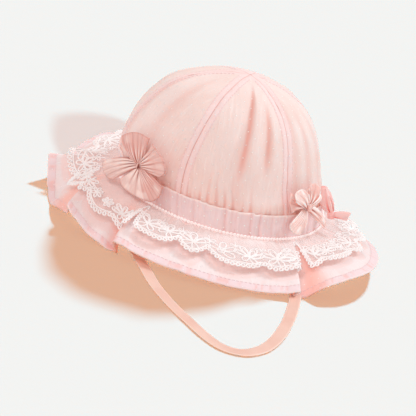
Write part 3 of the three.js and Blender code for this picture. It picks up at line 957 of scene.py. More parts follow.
hemTable = [  # root azimuth at the band, azimuth, radius and height of the hem
    (-35.5, -26.8, 131, -11.5), (-32, -23, 132, -9.5), (-27, -19.5, 131.5, -11.3), (-14, -11, 131, -12.5),
    (0, 0, 130.5, -13.5), (12, 10, 130, -14), (24, 20, 130, -13.8), (35, 27.5, 131, -12.5),
    (40, 32.2, 131.5, -11), (44.5, 31, 127.5, -19), (46.5, 33.8, 130, -17), (48.5, 36.8, 131.5, -12),
    (51.5, 41.2, 132.5, -6.5), (57, 50, 132.5, -3), (63, 60, 132, -4), (71, 70, 130, -6),
    (80, 80, 127.5, -9), (89, 90, 126.5, -13), (99, 100, 127, -17.5), (110, 111, 125.5, -22),
    (121, 122, 121, -27.5), (131, 132, 118, -34), (140, 141, 121, -29.5), (150, 150, 127, -21),
    (160, 160, 126, -26.5), (169, 169, 123.5, -39), (178, 178, 124, -38.5), (188, 188, 128, -22),
    (198, 198, 124.5, -36), (206, 206, 123, -41), (214, 214, 125, -31.5), (223, 223, 130, -17),
    (231, 231, 131.5, -11), (239, 239, 130.5, -13.5), (249, 249, 129.5, -19), (259, 260, 127.5, -24),
    (265, 265.5, 128.5, -21), (268, 268.8, 133, -12), (272, 273.5, 130, -20), (276, 281, 126, -33),
    (280, 290, 126.5, -31), (284, 299, 128, -22.5), (287.5, 307, 129.5, -17), (290, 311.8, 130.5, -14),
    (292, 312.6, 133, -8), (300, 317.5, 131.5, -12.5), (308, 323.5, 130, -17), (314, 330, 128.5, -19.3),
    (319, 334, 126.5, -23),
]
hemRows = np.array(hemTable, float)
hemPoints = polar(hemRows[:, 1], hemRows[:, 2] * mm, hemRows[:, 3] * mm)
rootRows = np.append(hemRows[:, 0], hemRows[0, 0] + 360)
rootShares = np.linspace(0, 1, len(rootRows))


def brimBase(share, reach):
    # share runs once round the hem, reach is 0 at the band and 1 at the hem
    share = np.mod(share, 1)
    hem = splineAt(hemPoints, share, closed=True)
    root = np.interp(share, rootShares, rootRows)
    hemRadius = np.hypot(hem[..., 0], hem[..., 1])
    turn = np.degrees(np.arctan2(hem[..., 0], -hem[..., 1])) - root
    turn -= 360 * np.round(turn / 360)
    radius = lerp(brimLook["headRadius"], hemRadius, reach)
    return polar(root + turn * reach ** brimLook["turn"], radius, hem[..., 2] * reach ** brimLook["droop"])


def shareOfRoot(root):
    return np.interp(np.mod(root - rootRows[0], 360) + rootRows[0], rootRows, rootShares)


brimStations = len(hemTable) * brimLook["stationsPerRow"]
hemShares = np.linspace(0, 1, brimStations, endpoint=False)
ringPoints = brimBase(np.append(hemShares, 1 - 1e-9), 0.7)
ringGone = goneAlong(ringPoints)
ringLength = ringGone[-1]


def alongRing(share):
    # distance round the brim, on the ring at seven tenths of its width
    return np.interp(np.mod(share, 1), np.append(hemShares, 1), ringGone)


def ringNoise(share, pitch, across, seed):
    # soft noise in whole cells of about that pitch round the brim
    cells = int(ringLength / pitch)
    return softNoise(alongRing(share) / ringLength * cells, across, seed, cells)


def ringUv(down):
    # the place on the flat cloth, from the distance down the brim at each station
    return np.stack([ringGone[None] + 0 * down[:, :1], np.append(down, down[:, :1], 1)], -1)


def hemPulls(share):
    # the hem's cloth drawn in between stitches, 1 on each little crest and -1 between two crests
    return 1 - 2 * np.abs(ringNoise(share, brimLook["pullPitch"], 0.5, 48))


def brimRelief(share, reach, width):
    look = brimLook
    fromHem, fromBand = (1 - reach) * width, reach * width
    relief = look["hemStep"] * (1 - smooth(fromHem, look["hem"] - 0.5 * mm, look["hem"] + 0.5 * mm))
    puckers = ringNoise(share, look["puckerPitch"], fromHem / look["puckerLength"], 41)
    relief += look["pucker"] * puckers * (1 - smooth(fromHem, *look["puckerReach"]))
    relief += look["stitchPull"] * hemPulls(share) * bell(fromHem - 0.8 * look["hem"], look["pullHalf"])
    ridges = 1 - 2 * np.abs(ringNoise(share, look["gatherPitch"], 0.3 + fromBand / look["gatherLength"], 42))
    fading = np.exp(-fromBand / look["gatherReach"])
    relief += look["gatherDepth"] * ridges * fading * smooth(fromBand, 0, 1.5 * mm)
    swells = ringNoise(share, look["swellPitch"], reach * 1.7, 43)
    relief += look["swell"] * swells * smooth(reach, *look["swellFrom"])
    return relief


def upwards(normals):
    # unit normals, turned to the side that is up
    normals = unit(normals)
    return normals * np.where(normals[:, 2:] < 0, -1, 1)


def makeHemStitches(width):
    row = 1 - brimLook["hem"] / width
    line = brimBase(hemShares, row)
    line[:, 2] += brimRelief(hemShares, row, width)
    path = settled(line)
    inward = settled(brimBase(hemShares, row - 0.02)) - path
    path, inward = [np.vstack([rows, rows[:1]]) for rows in (path, inward)]
    normals = upwards(np.cross(inward, unit(np.gradient(path, axis=0))))
    path[:, 2] = np.maximum(path[:, 2], brimLook["wall"])
    thread = threadMaterial("hemThread", stitchLook["hemColour"], stitchLook["hemDeep"], 0.6)
    parts = stitchRow(path + normals * 0.1 * mm, normals, stitchLook)
    threadPiece("hemStitches", parts, thread)


def makeBrim(look):
    reach = np.linspace(0, 1, look["rows"] + 1)
    s, r = np.meshgrid(hemShares, reach)
    grid = brimBase(s, r)
    width = np.linalg.norm(brimBase(hemShares, 1.0) - brimBase(hemShares, 0.0), axis=1)[None]
    relief = brimRelief(s, r, width)
    grid[..., 2] += relief
    fromHem = (1 - r) * width
    rootOf = np.interp(hemShares, rootShares, rootRows)[None]
    # painted shadows beside the pleats
    tuck = 0.0
    for place, half in look["tucks"]:
        tuck = np.maximum(tuck, bell(degreesFrom(rootOf, place), half) * smooth(r, 0.05, 0.35))
    edge = scallopReach(rootOf)
    beyond = r - edge + 0.015 * softNoise(alongRing(s) / (7 * mm), 0.5, 45)  # how far outside the lace's edge
    # painted shadow of the lace's edge, a wavy band just outside it
    reached = roundTable(rootOf, look["laceShadow"])
    fall = smooth(beyond, -0.03, 0.0) * (1 - smooth(beyond, reached, reached + 0.025))
    strong = 0.75 + 0.25 * softNoise(alongRing(s) / (11 * mm), r * 6, 46) - 0.3 * smooth(beyond, 0.0, 0.2)
    # painted shade in the hem's pinches and in the brim's hollows
    pinch = smooth(hemPulls(s), 0.5, 0.95) * bell(fromHem - 0.6 * look["hem"], 2.8 * mm)
    shade = np.maximum(look["tuckShade"] * tuck, look["edgeShade"] * fall * strong)
    valley = np.maximum(0.35 * hollows(relief, 4), look["pinchShade"] * pinch)
    piece = clothPiece("brimCloth", settled(grid), look["wall"], ringUv(r * width),
                       voileMaterial("brimVoile", look), closed=True, facing=-1,
                       masks={"hemGap": fromHem, "underLace": 1 - smooth(edge - r, 0, 0.04),
                              "shade": shade, "valley": valley})
    keepPiece(piece, "brim")
    makeHemStitches(width[0])


# lace flounce: scalloped net with eyelets, butterflies and sprays worked in thick thread

laceLook = {
    "lift": 1.2 * mm, "edgeLift": 5.0 * mm, "wall": 0.2 * mm, "ruffle": 0.9 * mm, "rufflePitch": 12 * mm,
    "liftFrom": (0.1, 0.69), "ruffleFrom": (0.12, 0.6),  # the reach where each begins and is whole
    "netPitch": 1.1 * mm, "netThread": 0.2, "netAlpha": 0.34, "netVeil": 0.28,
    "cord": 0.66 * mm, "line": 0.6 * mm, "eyelet": 1.35 * mm, "eyeletStep": 3.7 * mm, "border": 3.9 * mm,
    "rows": 26, "reachLength": 53 * mm, "bead": 0.75 * mm, "beadStep": 2.5 * mm,
    "motif": 13.4 * mm, "motifInset": 0.205, "spray": 9 * mm, "leafAt": 0.2,
    "notches": [(46.2, 1.5, 0.72), (327.6, 1.4, 0.75)], "leastDepth": 0.5, "leastEyelet": 0.3, "drop": 0.06,
    "openWork": (282, 332), "openMotif": 0.64,  # where the net shows, and how much smaller its motifs are
    "wideScallop": 36 * mm, "motifShare": 0.52, "motifMargin": 0.03, "sprayAt": 0.38,
    "eyeletLift": 0.12 * mm, "motifLift": 0.15 * mm, "sprayLift": 0.05 * mm,
    "beadAt": 0.07, "beadOut": 1.7 * mm, "followBrim": 0.6, "pleatReach": 11 * mm,
    # the glows of the beads, the threads and the net are painted light, an emission that whitens the lace's
    # shade
    "beadGlow": 0.36, "threadGlow": 0.17, "pleat": 5 * mm, "pleatDepth": 0.5 * mm,
    "colour": "e9e6e8", "deep": "e0d8d8", "mottleScale": 60.0,
    "sheen": 0.2, "specular": 0.3, "glowStrength": 0.15,
    "veil": [(0, 1.15), (45, 1.2), (62, 1.0), (120, 0.85), (260, 0.75), (285, 0.5), (326, 0.5), (332, 0.85),
             (345, 1.1), (360, 1.15)],  # root azimuth and how thickly the net lies there
}
scallops = [  # azimuth at the band and reach where two scallops meet, and the reach of the one that follows
    (-31, 0.66, 0.69), (-10.7, 0.46, 0.67), (1, 0.42, 0.7), (24.1, 0.57, 0.69), (37, 0.66, 0.66),
    (45, 0.56, 0.63), (52.1, 0.55, 0.64), (66, 0.55, 0.68), (78, 0.52, 0.69), (97, 0.5, 0.67),
    (115, 0.52, 0.69), (128, 0.5, 0.67), (146, 0.52, 0.69), (159, 0.5, 0.67), (177, 0.52, 0.69),
    (190, 0.5, 0.67), (208, 0.52, 0.69), (221, 0.5, 0.67), (239, 0.52, 0.69), (252, 0.52, 0.68),
    (265, 0.54, 0.69), (277, 0.56, 0.7), (288, 0.56, 0.7), (297.5, 0.55, 0.71), (313.4, 0.6, 0.69),
    (329, 0.66, 0.66),
]
butterfly = {  # each wing: direction, length and half width in shares of the motif's size
    "wings": [(63, 1.05, 0.29), (117, 1.05, 0.29), (18, 1.0, 0.27), (162, 1.0, 0.27), (-48, 0.62, 0.21),
              (-132, 0.62, 0.21)],
    "body": 0.4,
}
blossom = {"petals": 6, "length": 0.85, "halfWidth": 0.25, "ring": 0.22}
scallopRows = np.array(scallops, float)


def scallopReach(root):
    root = np.mod(root - scallopRows[0, 0], 360) + scallopRows[0, 0]
    roots = scallopRows[:, 0]
    index = np.clip(np.searchsorted(roots, root, side="right") - 1, 0, len(roots) - 2)
    across = (root - roots[index]) / (roots[index + 1] - roots[index])
    ends = lerp(scallopRows[index, 1], scallopRows[index + 1, 1], across)
    scallop = np.sin(math.pi * np.clip(across, 0, 1)) ** 0.6
    reach = ends + (scallopRows[index, 2] - ends) * scallop + laceLook["drop"]
    for place, half, share in laceLook["notches"]:
        reach = reach * (1 - share * np.exp(-(degreesFrom(root, place) / half) ** 4))
    return reach


def lacePlace(root, reach, above=0.0):
    share = shareOfRoot(root)
    grid = brimBase(share, reach)
    grid[..., 2] += laceLook["followBrim"] * brimRelief(share, reach, laceLook["reachLength"])
    lift = lerp(laceLook["lift"], laceLook["edgeLift"], smooth(reach, *laceLook["liftFrom"]))
    ruffle = ringNoise(share, laceLook["rufflePitch"], reach * 2.0, 51)
    lift = lift + laceLook["ruffle"] * ruffle * smooth(reach, *laceLook["ruffleFrom"])
    grid[..., 2] += lift + above
    return grid


def laceLine(points, above=0.0):
    # points are root azimuths and reaches, the result is the line on the lace and the lace's normals there
    root, reach = points[:, 0], points[:, 1]
    line = lacePlace(root, reach, above)
    sideways = lacePlace(root + 0.05, reach) - lacePlace(root - 0.05, reach)
    outward = lacePlace(root, reach + 0.004) - lacePlace(root, reach - 0.004)
    return settled(line), settledNormals(upwards(np.cross(outward, sideways)))


def localLine(centre, points):
    # a motif's own metres turned into root azimuth and reach round its centre
    root, reach = centre
    near = settled(lacePlace(np.array([root - 0.5, root + 0.5]), np.array([reach, reach])))
    perDegree = max(np.linalg.norm(near[1] - near[0]), 1.2 * mm)
    return np.stack([root + points[:, 0] / perDegree, reach + points[:, 1] / laceLook["reachLength"]], 1)


def petalOutline(direction, length, halfWidth, count=18):
    t = turnsRound(count)
    out = 0.5 - 0.5 * np.cos(t)
    along = length * out
    side = halfWidth * np.sin(t) * (0.35 + 0.65 * out)
    turn = math.radians(direction)
    return np.stack([along * math.cos(turn) - side * math.sin(turn),
                     along * math.sin(turn) + side * math.cos(turn)], 1)


def motifLines(kind, size, spin):
    # each line of one motif in metres, whether it is closed, and its half width
    lines = []
    if kind == "butterfly":
        for direction, length, halfWidth in butterfly["wings"]:
            wing = petalOutline(direction + spin, length * size, halfWidth * size)
            lines.append((wing, True, laceLook["line"]))
            if halfWidth > 0.25:
                lines.append((0.3 * wing.mean(0) + 0.62 * wing, True, 0.8 * laceLook["line"]))
        turn = math.radians(90 + spin)
        body = np.linspace(-0.5, 0.6, 6)[:, None] * butterfly["body"] * size
        lines.append((body * [[math.cos(turn), math.sin(turn)]], False, laceLook["cord"]))
    else:
        for k in range(blossom["petals"]):
            direction = 360 / blossom["petals"] * k + spin
            petal = petalOutline(direction, blossom["length"] * size, blossom["halfWidth"] * size)
            lines.append((petal, True, laceLook["line"]))
        lines.append((circlePoints(12) * blossom["ring"] * size, True, laceLook["cord"]))
    return lines


def sprayLines(size, lean):
    # a stem with a small leaf on each side
    thin, at = 0.8 * laceLook["line"], laceLook["leafAt"]
    stem = np.stack([lean * np.linspace(0, 1, 8) ** 2 * 0.5, np.linspace(0, -1, 8)], 1) * size
    base = np.array([lean * at ** 2 * 0.5, -at]) * size
    leaves = [petalOutline(-90 + side * 55, 0.5 * size, 0.17 * size, 12) + base for side in (1, -1)]
    return [(stem, False, thin)] + [(leaf, True, thin) for leaf in leaves]


def makeEmbroidery(look):
    parts = []

    def work(points, halfWidth, loop=False, above=0.0, sides=6):
        line, normals = laceLine(points, above + 0.5 * look["wall"])
        parts.append(tubeParts(line, normals, halfWidth, 0.75 * halfWidth, sides, loop))

    def isOpen(root):
        return look["openWork"][0] < root < look["openWork"][1]

    eyelet = circlePoints(12) * look["eyelet"]
    for k in range(len(scallops) - 1):
        low, high = scallopRows[k, 0], scallopRows[k + 1, 0]
        fine = np.linspace(low, high, 60)
        edge = scallopReach(np.clip(fine, low + 1e-3, high - 1e-3))
        inner = edge - look["border"] / look["reachLength"]
        work(np.stack([fine, inner], 1)[2:-2], look["line"])
        gone = goneAlong(settled(lacePlace(fine, edge)))
        wide = gone[-1]
        holes = max(3, int(wide / look["eyeletStep"]))
        for at in (np.arange(holes) + 0.5) / holes:
            root = np.interp(at * wide, gone, fine)
            reach = np.interp(root, fine, edge) - look["eyelet"] / look["reachLength"]
            if reach >= look["leastEyelet"]:
                work(localLine((root, reach), eyelet), look["line"], True, look["eyeletLift"])
        motifs = 2 if wide > look["wideScallop"] else 1
        for m in range(motifs):
            middle = lerp(low, high, (m + 0.5) / motifs)
            depth = float(scallopReach(np.array(middle)))
            size = min(look["motif"], look["motifShare"] * wide / motifs) * (1.0 if m % 2 == 0 else 0.92)
            if isOpen(middle):
                size *= look["openMotif"]
            if depth < look["leastDepth"]:
                continue
            kind = "butterfly" if (k + m) % 3 != 2 else "blossom"
            spin = 180 + 24 * math.sin(2.3 * k + 1.7 * m)
            for points, loop, halfWidth in motifLines(kind, size, spin):
                placed = localLine((middle, depth - look["motifInset"]), points)
                onNet = placed[:, 1] < scallopReach(placed[:, 0]) - look["motifMargin"]
                if np.all(onNet):
                    work(placed, halfWidth, loop, look["motifLift"], 5)
        for at in ((0.02, 0.5) if motifs == 2 else (0.02,)):
            start = (lerp(low, high, at), look["sprayAt"])
            if isOpen(start[0]) or scallopReach(np.array(start[0])) < look["leastDepth"]:
                continue
            for points, loop, halfWidth in sprayLines(look["spray"], 0.9 * (at - 0.5)):
                work(localLine(start, points), halfWidth, loop, look["sprayLift"], 5)
    print("lace worked,", len(parts), "threads")
    thread = threadMaterial("laceThread", look["colour"], look["deep"], 0.75, look["threadGlow"])
    return threadPiece("laceEmbroidery", parts, thread)


def makeBeading(look):
    # a row of small upright loops where the lace is sewn to the band's foot
    parts = []
    beads = int(2 * math.pi * bandLook["radius"] / look["beadStep"])
    level, upright = np.split(circlePoints(8), 2, axis=1)
    for azimuth in np.arange(beads) * 360 / beads:
        foot = bandSurface(azimuth, look["beadAt"])
        along = unit(bandSurface(azimuth + 1, look["beadAt"]) - foot)
        out = unit(np.cross(along, (0, 0, 1)))
        ring = foot + look["beadOut"] * out + look["bead"] * (along * level + upright * [0, 0, 1])
        normals = np.broadcast_to(settledNormals(out), ring.shape)
        parts.append(tubeParts(settled(ring), normals, look["line"], look["line"], 5, True))
    thread = threadMaterial("beadThread", look["colour"], look["deep"], 0.75, look["beadGlow"])
    return threadPiece("laceBeading", parts, thread)


def makeNetPiece(look, worked):
    rootOf = np.interp(hemShares, rootShares, rootRows)
    edge = scallopReach(rootOf)
    share = np.linspace(0, 1, look["rows"] + 1)[:, None]
    reach = share * edge[None]
    reach[-1] -= 0.8 * look["eyelet"] / look["reachLength"]
    grid = lacePlace(np.broadcast_to(rootOf, reach.shape), reach)
    down = reach * look["reachLength"]
    pleat = 1 - 2 * np.abs(ringNoise(hemShares, look["pleat"], 0.3, 53))
    pleat = np.clip(pleat, -0.3, 1) * np.exp(-down / look["pleatReach"])
    grid[..., 2] += look["pleatDepth"] * pleat
    thick = roundTable(rootOf, look["veil"])
    thick = thick * (0.35 + 0.65 * smooth(reach, 0.02, 0.14)) * (1 + 0.9 * np.clip(pleat, 0, 1))
    net = clothPiece("laceNet", settled(grid), look["wall"], ringUv(down), netMaterial(look),
                     closed=True, facing=-1, floor=False, masks={"veil": thick})
    keepPiece(net, "lace_flounce")
    rim = settled(lacePlace(rootOf, np.full(rootOf.shape, edge.mean())))


def netMaterial(look):
    material, tree, shader = newMaterial("laceNet", 0.8, {**threadFinish, **look})
    place = clothPlace(tree)
    net = placeGroup(tree, netGroup, Vector=place, Pitch=look["netPitch"], Thread=look["netThread"])
    tree.links.new(mottledCloth(tree, place, look, 0.6), shader.inputs["Base Color"])
    front = mathNode(tree, "SUBTRACT", 1.0, addNode(tree, "NewGeometry", {}, "Backfacing"))
    alpha = mathNode(tree, "MULTIPLY_ADD", net[0], look["netAlpha"], look["netVeil"])
    alpha = mathNode(tree, "MULTIPLY", timesNode(tree, alpha, front), readMask(tree, "veil"), clamp=True)
    tree.links.new(alpha, shader.inputs["Alpha"])
    return material


makeBrim(brimLook)
print("brim hemmed,", brimStations, "stations")
laceBeads = makeBeading(laceLook)
makeNetPiece(laceLook, makeEmbroidery(laceLook))


# bows: gathered petals and ribbon loops that spread from a knot

bowLook = {
    "wall": 0.7 * mm, "columns": 96, "rows": 40, "pinch": 1.3 * mm, "loopColumns": 90, "loopRows": 18,
    "knotWall": 0.5 * mm, "rimRoll": 0.3 * mm, "foldShade": 0.95,
    "uneven": 0.17, "flattened": 0.72, "smallFolds": 0.22,  # shares of a fold's width and depth
    "fulness": 0.8, "flutter": 0.5, "cornerDrop": 0.9, "curlRise": 1.6,  # millimetres
    "loopGathers": 0.45, "loopFulness": 0.7, "loopFlutter": 0.3,  # millimetres
    # how strongly highlights are painted on each bow's petals
    "lustre": {"left": 0.55, "right": 0.74, "satin": 0.0},
}
roseLook = {
    "colour": "ebd5d1", "deep": "e3c3bd", "pale": "f6ebe8", "ridgeHighlight": 0.6,
    "roughness": 0.6, "sheen": 0.5, "sheenTint": "fff0ec", "mottleScale": 60.0,
    "pitch": 0.4 * mm, "threadDepth": 0.03, "dotRadius": 0,
    "creaseWidth": 0.9 * mm, "creaseLength": 12 * mm, "creaseDepth": 0.2,
    "borders": [{"mask": "edgeGap", "reach": 0.5 * mm, "soft": 0.4 * mm, "share": 0.55, "colour": "d79a92"}],
    # colours of the painted shade, of the painted shade in creases and beside the knot, and of the painted
    # highlights
    "shadeColour": "d6938b", "valleyColour": "7a2c27", "lustreColour": "fff4f0",
}
blushLook = {
    **roseLook, "colour": "f6dcd8", "deep": "ecc6c0", "pale": "fef1ee", "roughness": 0.42,
    "borders": [{"mask": "edgeGap", "reach": 0.5 * mm, "soft": 0.4 * mm, "share": 0.7, "colour": "fff6f4"}],
    # colours of the painted shade, of the painted shade in creases and beside the knot, and of the painted
    # highlights
    "shadeColour": "e2a096", "valleyColour": "a4463d", "lustreColour": "ffffff",
}
coralLook = {
    "colour": "f2cfcd", "deep": "efbfbc",
    "borders": [{"mask": "edgeGap", "reach": 0.5 * mm, "soft": 0.4 * mm, "share": 0.6, "colour": "ffdcd8"}],
    "roughness": 0.42, "sheen": 0.3, "sheenTint": "ffe6e2", "mottleScale": 60.0,
    # colours of the painted shade and of the painted shade in hollows
    "shadeColour": "f9a29e", "valleyColour": "f07672",
}
# Places are millimetres along the crown, up the crown and out from it. A petal has the middles of its two
# side edges, the points of its rim, its heights at the knot, the middle and the rim, its number of folds,
# their depth, and how deep its colour is. A loop is the middle line of a ribbon that leaves the knot and
# comes back to it.


def petalOf(mids, lifts, folds, depth, shade, rim, curl=0, root=0):
    # curl turns the rim up at one side, and root is how much shade is painted on the gathers beside the knot
    return {"mids": mids, "lifts": lifts, "folds": folds, "depth": depth, "shade": shade, "rim": rim,
            "curl": curl, "root": root}


bows = {
    "left": {
        "azimuth": -41.5, "height": 23.5, "node": "left_bow", "slot": "rose_voile",
        "knot": (-2.5, -0.7, 3.6), "knotSize": (1.3, 2.1, 1.2), "knotSideShade": 1.4, "sideways": False,
        "petals": {
            "left": petalOf([(-17, -1), (-9.8, -9.4)], (2.6, 5.6, 6.6), 4, 1.1, 0.12,
                            [(-36.1, -13.1), (-32.4, -17.8), (-25.7, -20.6), (-19.7, -20)]),
            "lower_left": petalOf([(-9, -9), (6, -10.6)], (2.2, 3.6, 5), 3, 0.8, 0.05,
                                  [(-15.9, -18.2), (-8.1, -21), (3.3, -20.9), (15.2, -19.4)]),
            "top": petalOf([(-14.5, 3), (1.8, 10)], (2.8, 5.2, 6.6), 6, 1.35, 0.75,
                           [(-24.9, 12), (-17.6, 17.7), (-9, 21.4), (1.6, 21.9)]),
            "lower_right": petalOf([(7, -9.6), (12.5, -0.6)], (3.1, 5.2, 6), 6, 1.4, 0.65,
                                   [(15.6, -19.2), (22.9, -16.1), (27.8, -9.9), (27.8, -2.6)], root=0.8),
            "right": petalOf([(2.6, 8.9), (12, 0.8)], (3.4, 5.8, 6.4), 5, 1.2, 0.5,
                             [(7.7, 20.7), (13.5, 18), (21.5, 14.2), (26.2, 7.5), (22.5, 2.1)], 1, 0.9),
        },
        "loops": {},
    },
    "right": {
        "azimuth": 52, "height": 24.5, "node": "right_bow", "slot": "blush_voile",
        "knot": (4, -2.3, 6.6), "knotSize": (1.8, 2.9, 1.7), "knotSideShade": 0.7, "sideways": False,
        "petals": {
            "lower_left": petalOf([(-6.4, -7.2), (3.6, -10.6)], (3.4, 5, 5.8), 7, 1.2, 0.05, [
                (-15.1, -11.2), (-15.4, -15), (-12.4, -18.3), (-4.7, -20.5), (-0.8, -17.6)]),
            "tail": petalOf([(14.3, -3.7), (9.4, -9.3)], (3.4, 5.4, 6), 2, 0.8, 0.5,
                            [(24.2, -14.1), (23.8, -16.8), (22, -19.7)]),
            "upper_left": petalOf([(-6.6, 0.6), (2.4, 5.6)], (4.6, 7.6, 8.6), 2.4, 0.9, 0.0,
                                  [(-14.2, 3.4), (-13.8, 8.6), (-10, 11.6), (-5, 11.9), (0.4, 8.4)], 1),
            "upper_right": petalOf([(2.6, 6.6), (10.4, 1.4)], (4.4, 7.4, 8), 2.6, 0.9, 0.7,
                                   [(-0.6, 11.4), (3.6, 14.6), (10.2, 14.4), (14.9, 10.3), (15.4, 6)], 1),
            "turned_back": petalOf([(-8.5, -3.2), (-6, 4)], (3.4, 4.6, 6), 2, 0.7, 0.8,
                                   [(-12.8, -4), (-15.2, 0), (-16.4, 5.6), (-14.2, 10)]),
            "twist": petalOf([(9.6, 3.8), (9.6, 0.4)], (6.2, 9, 8.4), 3, 0.8, 0.0,
                             [(14.4, 7.6), (15.4, 4.6), (13.6, 1.8)]),
        },
        "loops": {},
    },
    "satin": {
        "azimuth": 75, "height": 11, "node": "satin_bow", "slot": "coral_satin",
        "knot": (9.6, 0.8, 0.4), "knotSize": (3.2, 2.7, 2.6), "knotSideShade": 0.3, "sideways": True,
        "petals": {
            "loop": petalOf([(0.6, 9), (10.2, 8.6)], (-0.6, 2.2, 0.4), 1.5, 1.5, 0.1,
                            [(-2.4, 17), (-0.2, 20.4), (3.6, 20.6), (6.2, 16.6)]),
            "tail": petalOf([(16.6, 5.4), (16.4, -0.8)], (0.4, 0.2, 0.6), 1, 0.4, 0.0,
                            [(24.2, 5.1), (22.8, 2), (21.6, -1.2)]),
        },
        "loops": {
            "loop_back": {"width": 7, "across": (0.25, -0.2, 0.95), "shade": 0.6, "line": [
                (9.6, 1.2, -3), (10.6, 6, -3.5), (8.6, 11.5, -4), (5.6, 16.5, -4), (2.2, 19.4, -4),
                (-1, 18.4, -4), (-2.6, 14, -4), (-0.6, 7.5, -4), (4.6, 2.6, -3.5), (9.6, 0.8, -3)]},
        },
    },
}
bowNodes = ("left", "lower_left", "top", "lower_right", "right", "tail", "upper_left", "upper_right", "loop",
            "knot")  # the parts that the frame has nodes for


def seatPoint(azimuth, height):
    if height <= bandLook["height"]:
        return bandSurface(np.array(float(azimuth)), height / bandLook["height"])
    return crownBase(np.array(float(azimuth)), (height - bandLook["height"]) / crownLength)


def bowFrame(bow):
    # the bow's own directions: along, up and out, or for a bow seen from its side, out, up and forwards
    azimuth, height = bow["azimuth"], bow["height"] * mm
    origin = seatPoint(azimuth, height)
    along = unit(seatPoint(azimuth + 1, height) - seatPoint(azimuth - 1, height))
    up = unit(seatPoint(azimuth, height + 2 * mm) - origin)
    out = unit(np.cross(along, up))
    up = np.cross(out, along)
    return (origin, out, up, -along) if bow["sideways"] else (origin, along, up, out)


def ontoBow(bow, places):
    origin, along, up, out = bowFrame(bow)
    places = np.asarray(places, float) * mm
    return settled(origin + places[..., :1] * along + places[..., 1:2] * up + places[..., 2:] * out)


def bowPiece(bowName, part, bow, grid, wall, uv, material, outward, closed=False, **masks):
    # the cloth faces the way that outward points
    facing = 1 if np.sum(gridNormals(grid, closed) * outward) > 0 else -1
    piece = clothPiece(f"{bowName}Bow_{part}", grid, wall, uv, material, closed, facing, masks)
    keepPiece(piece, f"{bow['node']}_{part}" if part in bowNodes else None)


def throughThree(v, first, middle, last):
    # a curve that is at first, middle and last where v is 0, a half and 1
    return (1 - v) * (1 - 2 * v) * first + 4 * v * (1 - v) * middle + v * (2 * v - 1) * last


def makePetal(bowName, petalName, bow, material):
    petal, look = bow["petals"][petalName], bowLook
    seed = 60 + 7 * len(petalName) + len(bowName)
    u, v = np.meshgrid(np.linspace(0, 1, look["columns"] + 1), np.linspace(0, 1, look["rows"] + 1))
    knot, mids, rim = [np.array(rows, float) for rows in (bow["knot"][:2], petal["mids"], petal["rim"])]
    rimLine = splineAt(rim, u[0])
    spread = unit(mids[1] - mids[0])
    root = knot + spread * (2 * u[0][:, None] - 1) * look["pinch"] / mm
    middle = lerp(mids[0], mids[1], u[0][:, None])
    middle = middle + 0.25 * (0.5 * (root + rimLine) - middle) * np.sin(math.pi * u[0])[:, None]
    flat = throughThree(v[..., None], root, middle, rimLine)
    wide = np.linalg.norm(np.gradient(flat, axis=1), axis=-1).sum(1)[:, None]
    phase = petal["folds"] * (u + look["uneven"] * softNoise(u * 3.3, 0.4, seed) + 0.02 * v)
    phase = phase + 0.2 * softNoise(u * 2, v * 2, seed + 1)
    ridge = np.abs(np.sin(math.pi * phase)) ** 0.8
    small = np.abs(np.sin(math.pi * (2.6 * phase + 0.3)))
    room = np.minimum(petal["depth"], 0.75 * wide / petal["folds"])
    room = room * (0.75 + 0.35 * softNoise(u * 1.2 * petal["folds"], 0.5, seed + 4))
    strength = (0.3 + 0.7 * smooth(v, 0, 0.25)) * (1 - look["flattened"] * smooth(v, 0.35, 1.0))
    relief = room * strength * (ridge - 0.5) + look["smallFolds"] * room * (small - 0.5)
    relief += look["flutter"] * softNoise(u * 4 + 3, v * 2.5, seed + 2) * v ** 1.5
    relief -= look["cornerDrop"] * smooth(v, 0.86, 1.0) * np.abs(2 * u - 1) ** 2
    relief += petal["curl"] * look["curlRise"] * smooth(v, 0.7, 1.0) * bell(u - 0.08, 0.14)
    lift = throughThree(v, *petal["lifts"]) + relief
    lift = lift + look["fulness"] * np.sin(math.pi * u) * np.sin(math.pi * v)
    grid = ontoBow(bow, np.concatenate([flat, lift[..., None]], -1))
    gone = np.cumsum(np.linalg.norm(np.diff(grid, axis=0, prepend=grid[:1]), axis=-1), 0)
    uv = np.stack([(u - 0.5) * wide * mm, gone], -1)
    edgeGap = np.minimum(gone[-1:] - gone, np.minimum(u, 1 - u) * wide * mm)
    wall = look["wall"] + look["rimRoll"] * (edgeGap < 0.7 * mm)
    # painted shade in the creases and on the gathers beside the knot
    valley = np.clip(1 - 1.6 * ridge, 0, 1) * (1 - 0.8 * smooth(v, 0.1, 0.75)) * min(1, petal["folds"] / 4)
    valley = np.maximum(valley, (1 - smooth(v, 0.14, 0.66)) * np.clip(2.1 - 3 * ridge, 0, 1))
    valley *= 0.55 + 0.45 * smooth(softNoise(u * 1.5 * petal["folds"], 0.2, seed + 5), -0.6, 0.4)
    valley = np.maximum(valley, petal["root"] * (1 - smooth(v, 0.07, 0.2)))
    shade = petal["shade"] * (0.8 + 0.2 * softNoise(u * 3, v * 3, seed + 3))
    # painted shade on the folds' sides, deepest near the knot
    shade = shade + look["foldShade"] * (0.62 - ridge) * (1 - 0.85 * smooth(v, 0.2, 0.95))
    # painted highlights on the ridges near the knot and in a band near the rim
    lustre = smooth(ridge, 0.8, 0.99) * smooth(v, 0.08, 0.25) * (1 - smooth(v, 0.45, 0.8))
    lustre = np.maximum(lustre, 0.8 * smooth(v, 0.72, 0.82) * (1 - smooth(v, 0.9, 1.0))
                        * smooth(softNoise(u * 5, 0.0, seed + 6), 0.0, 0.6))
    lustre = look["lustre"][bowName] * lustre
    # more painted shade beside the knot
    shade = np.clip(shade + 0.3 * (1 - smooth(v, 0.1, 0.5)), 0, 1)
    outward = ontoBow(bow, [0, 0, 1]) - ontoBow(bow, [0, 0, 0])
    bowPiece(bowName, petalName, bow, grid, wall, uv, material, outward,
             edgeGap=edgeGap, shade=shade, valley=valley, lustre=lustre)


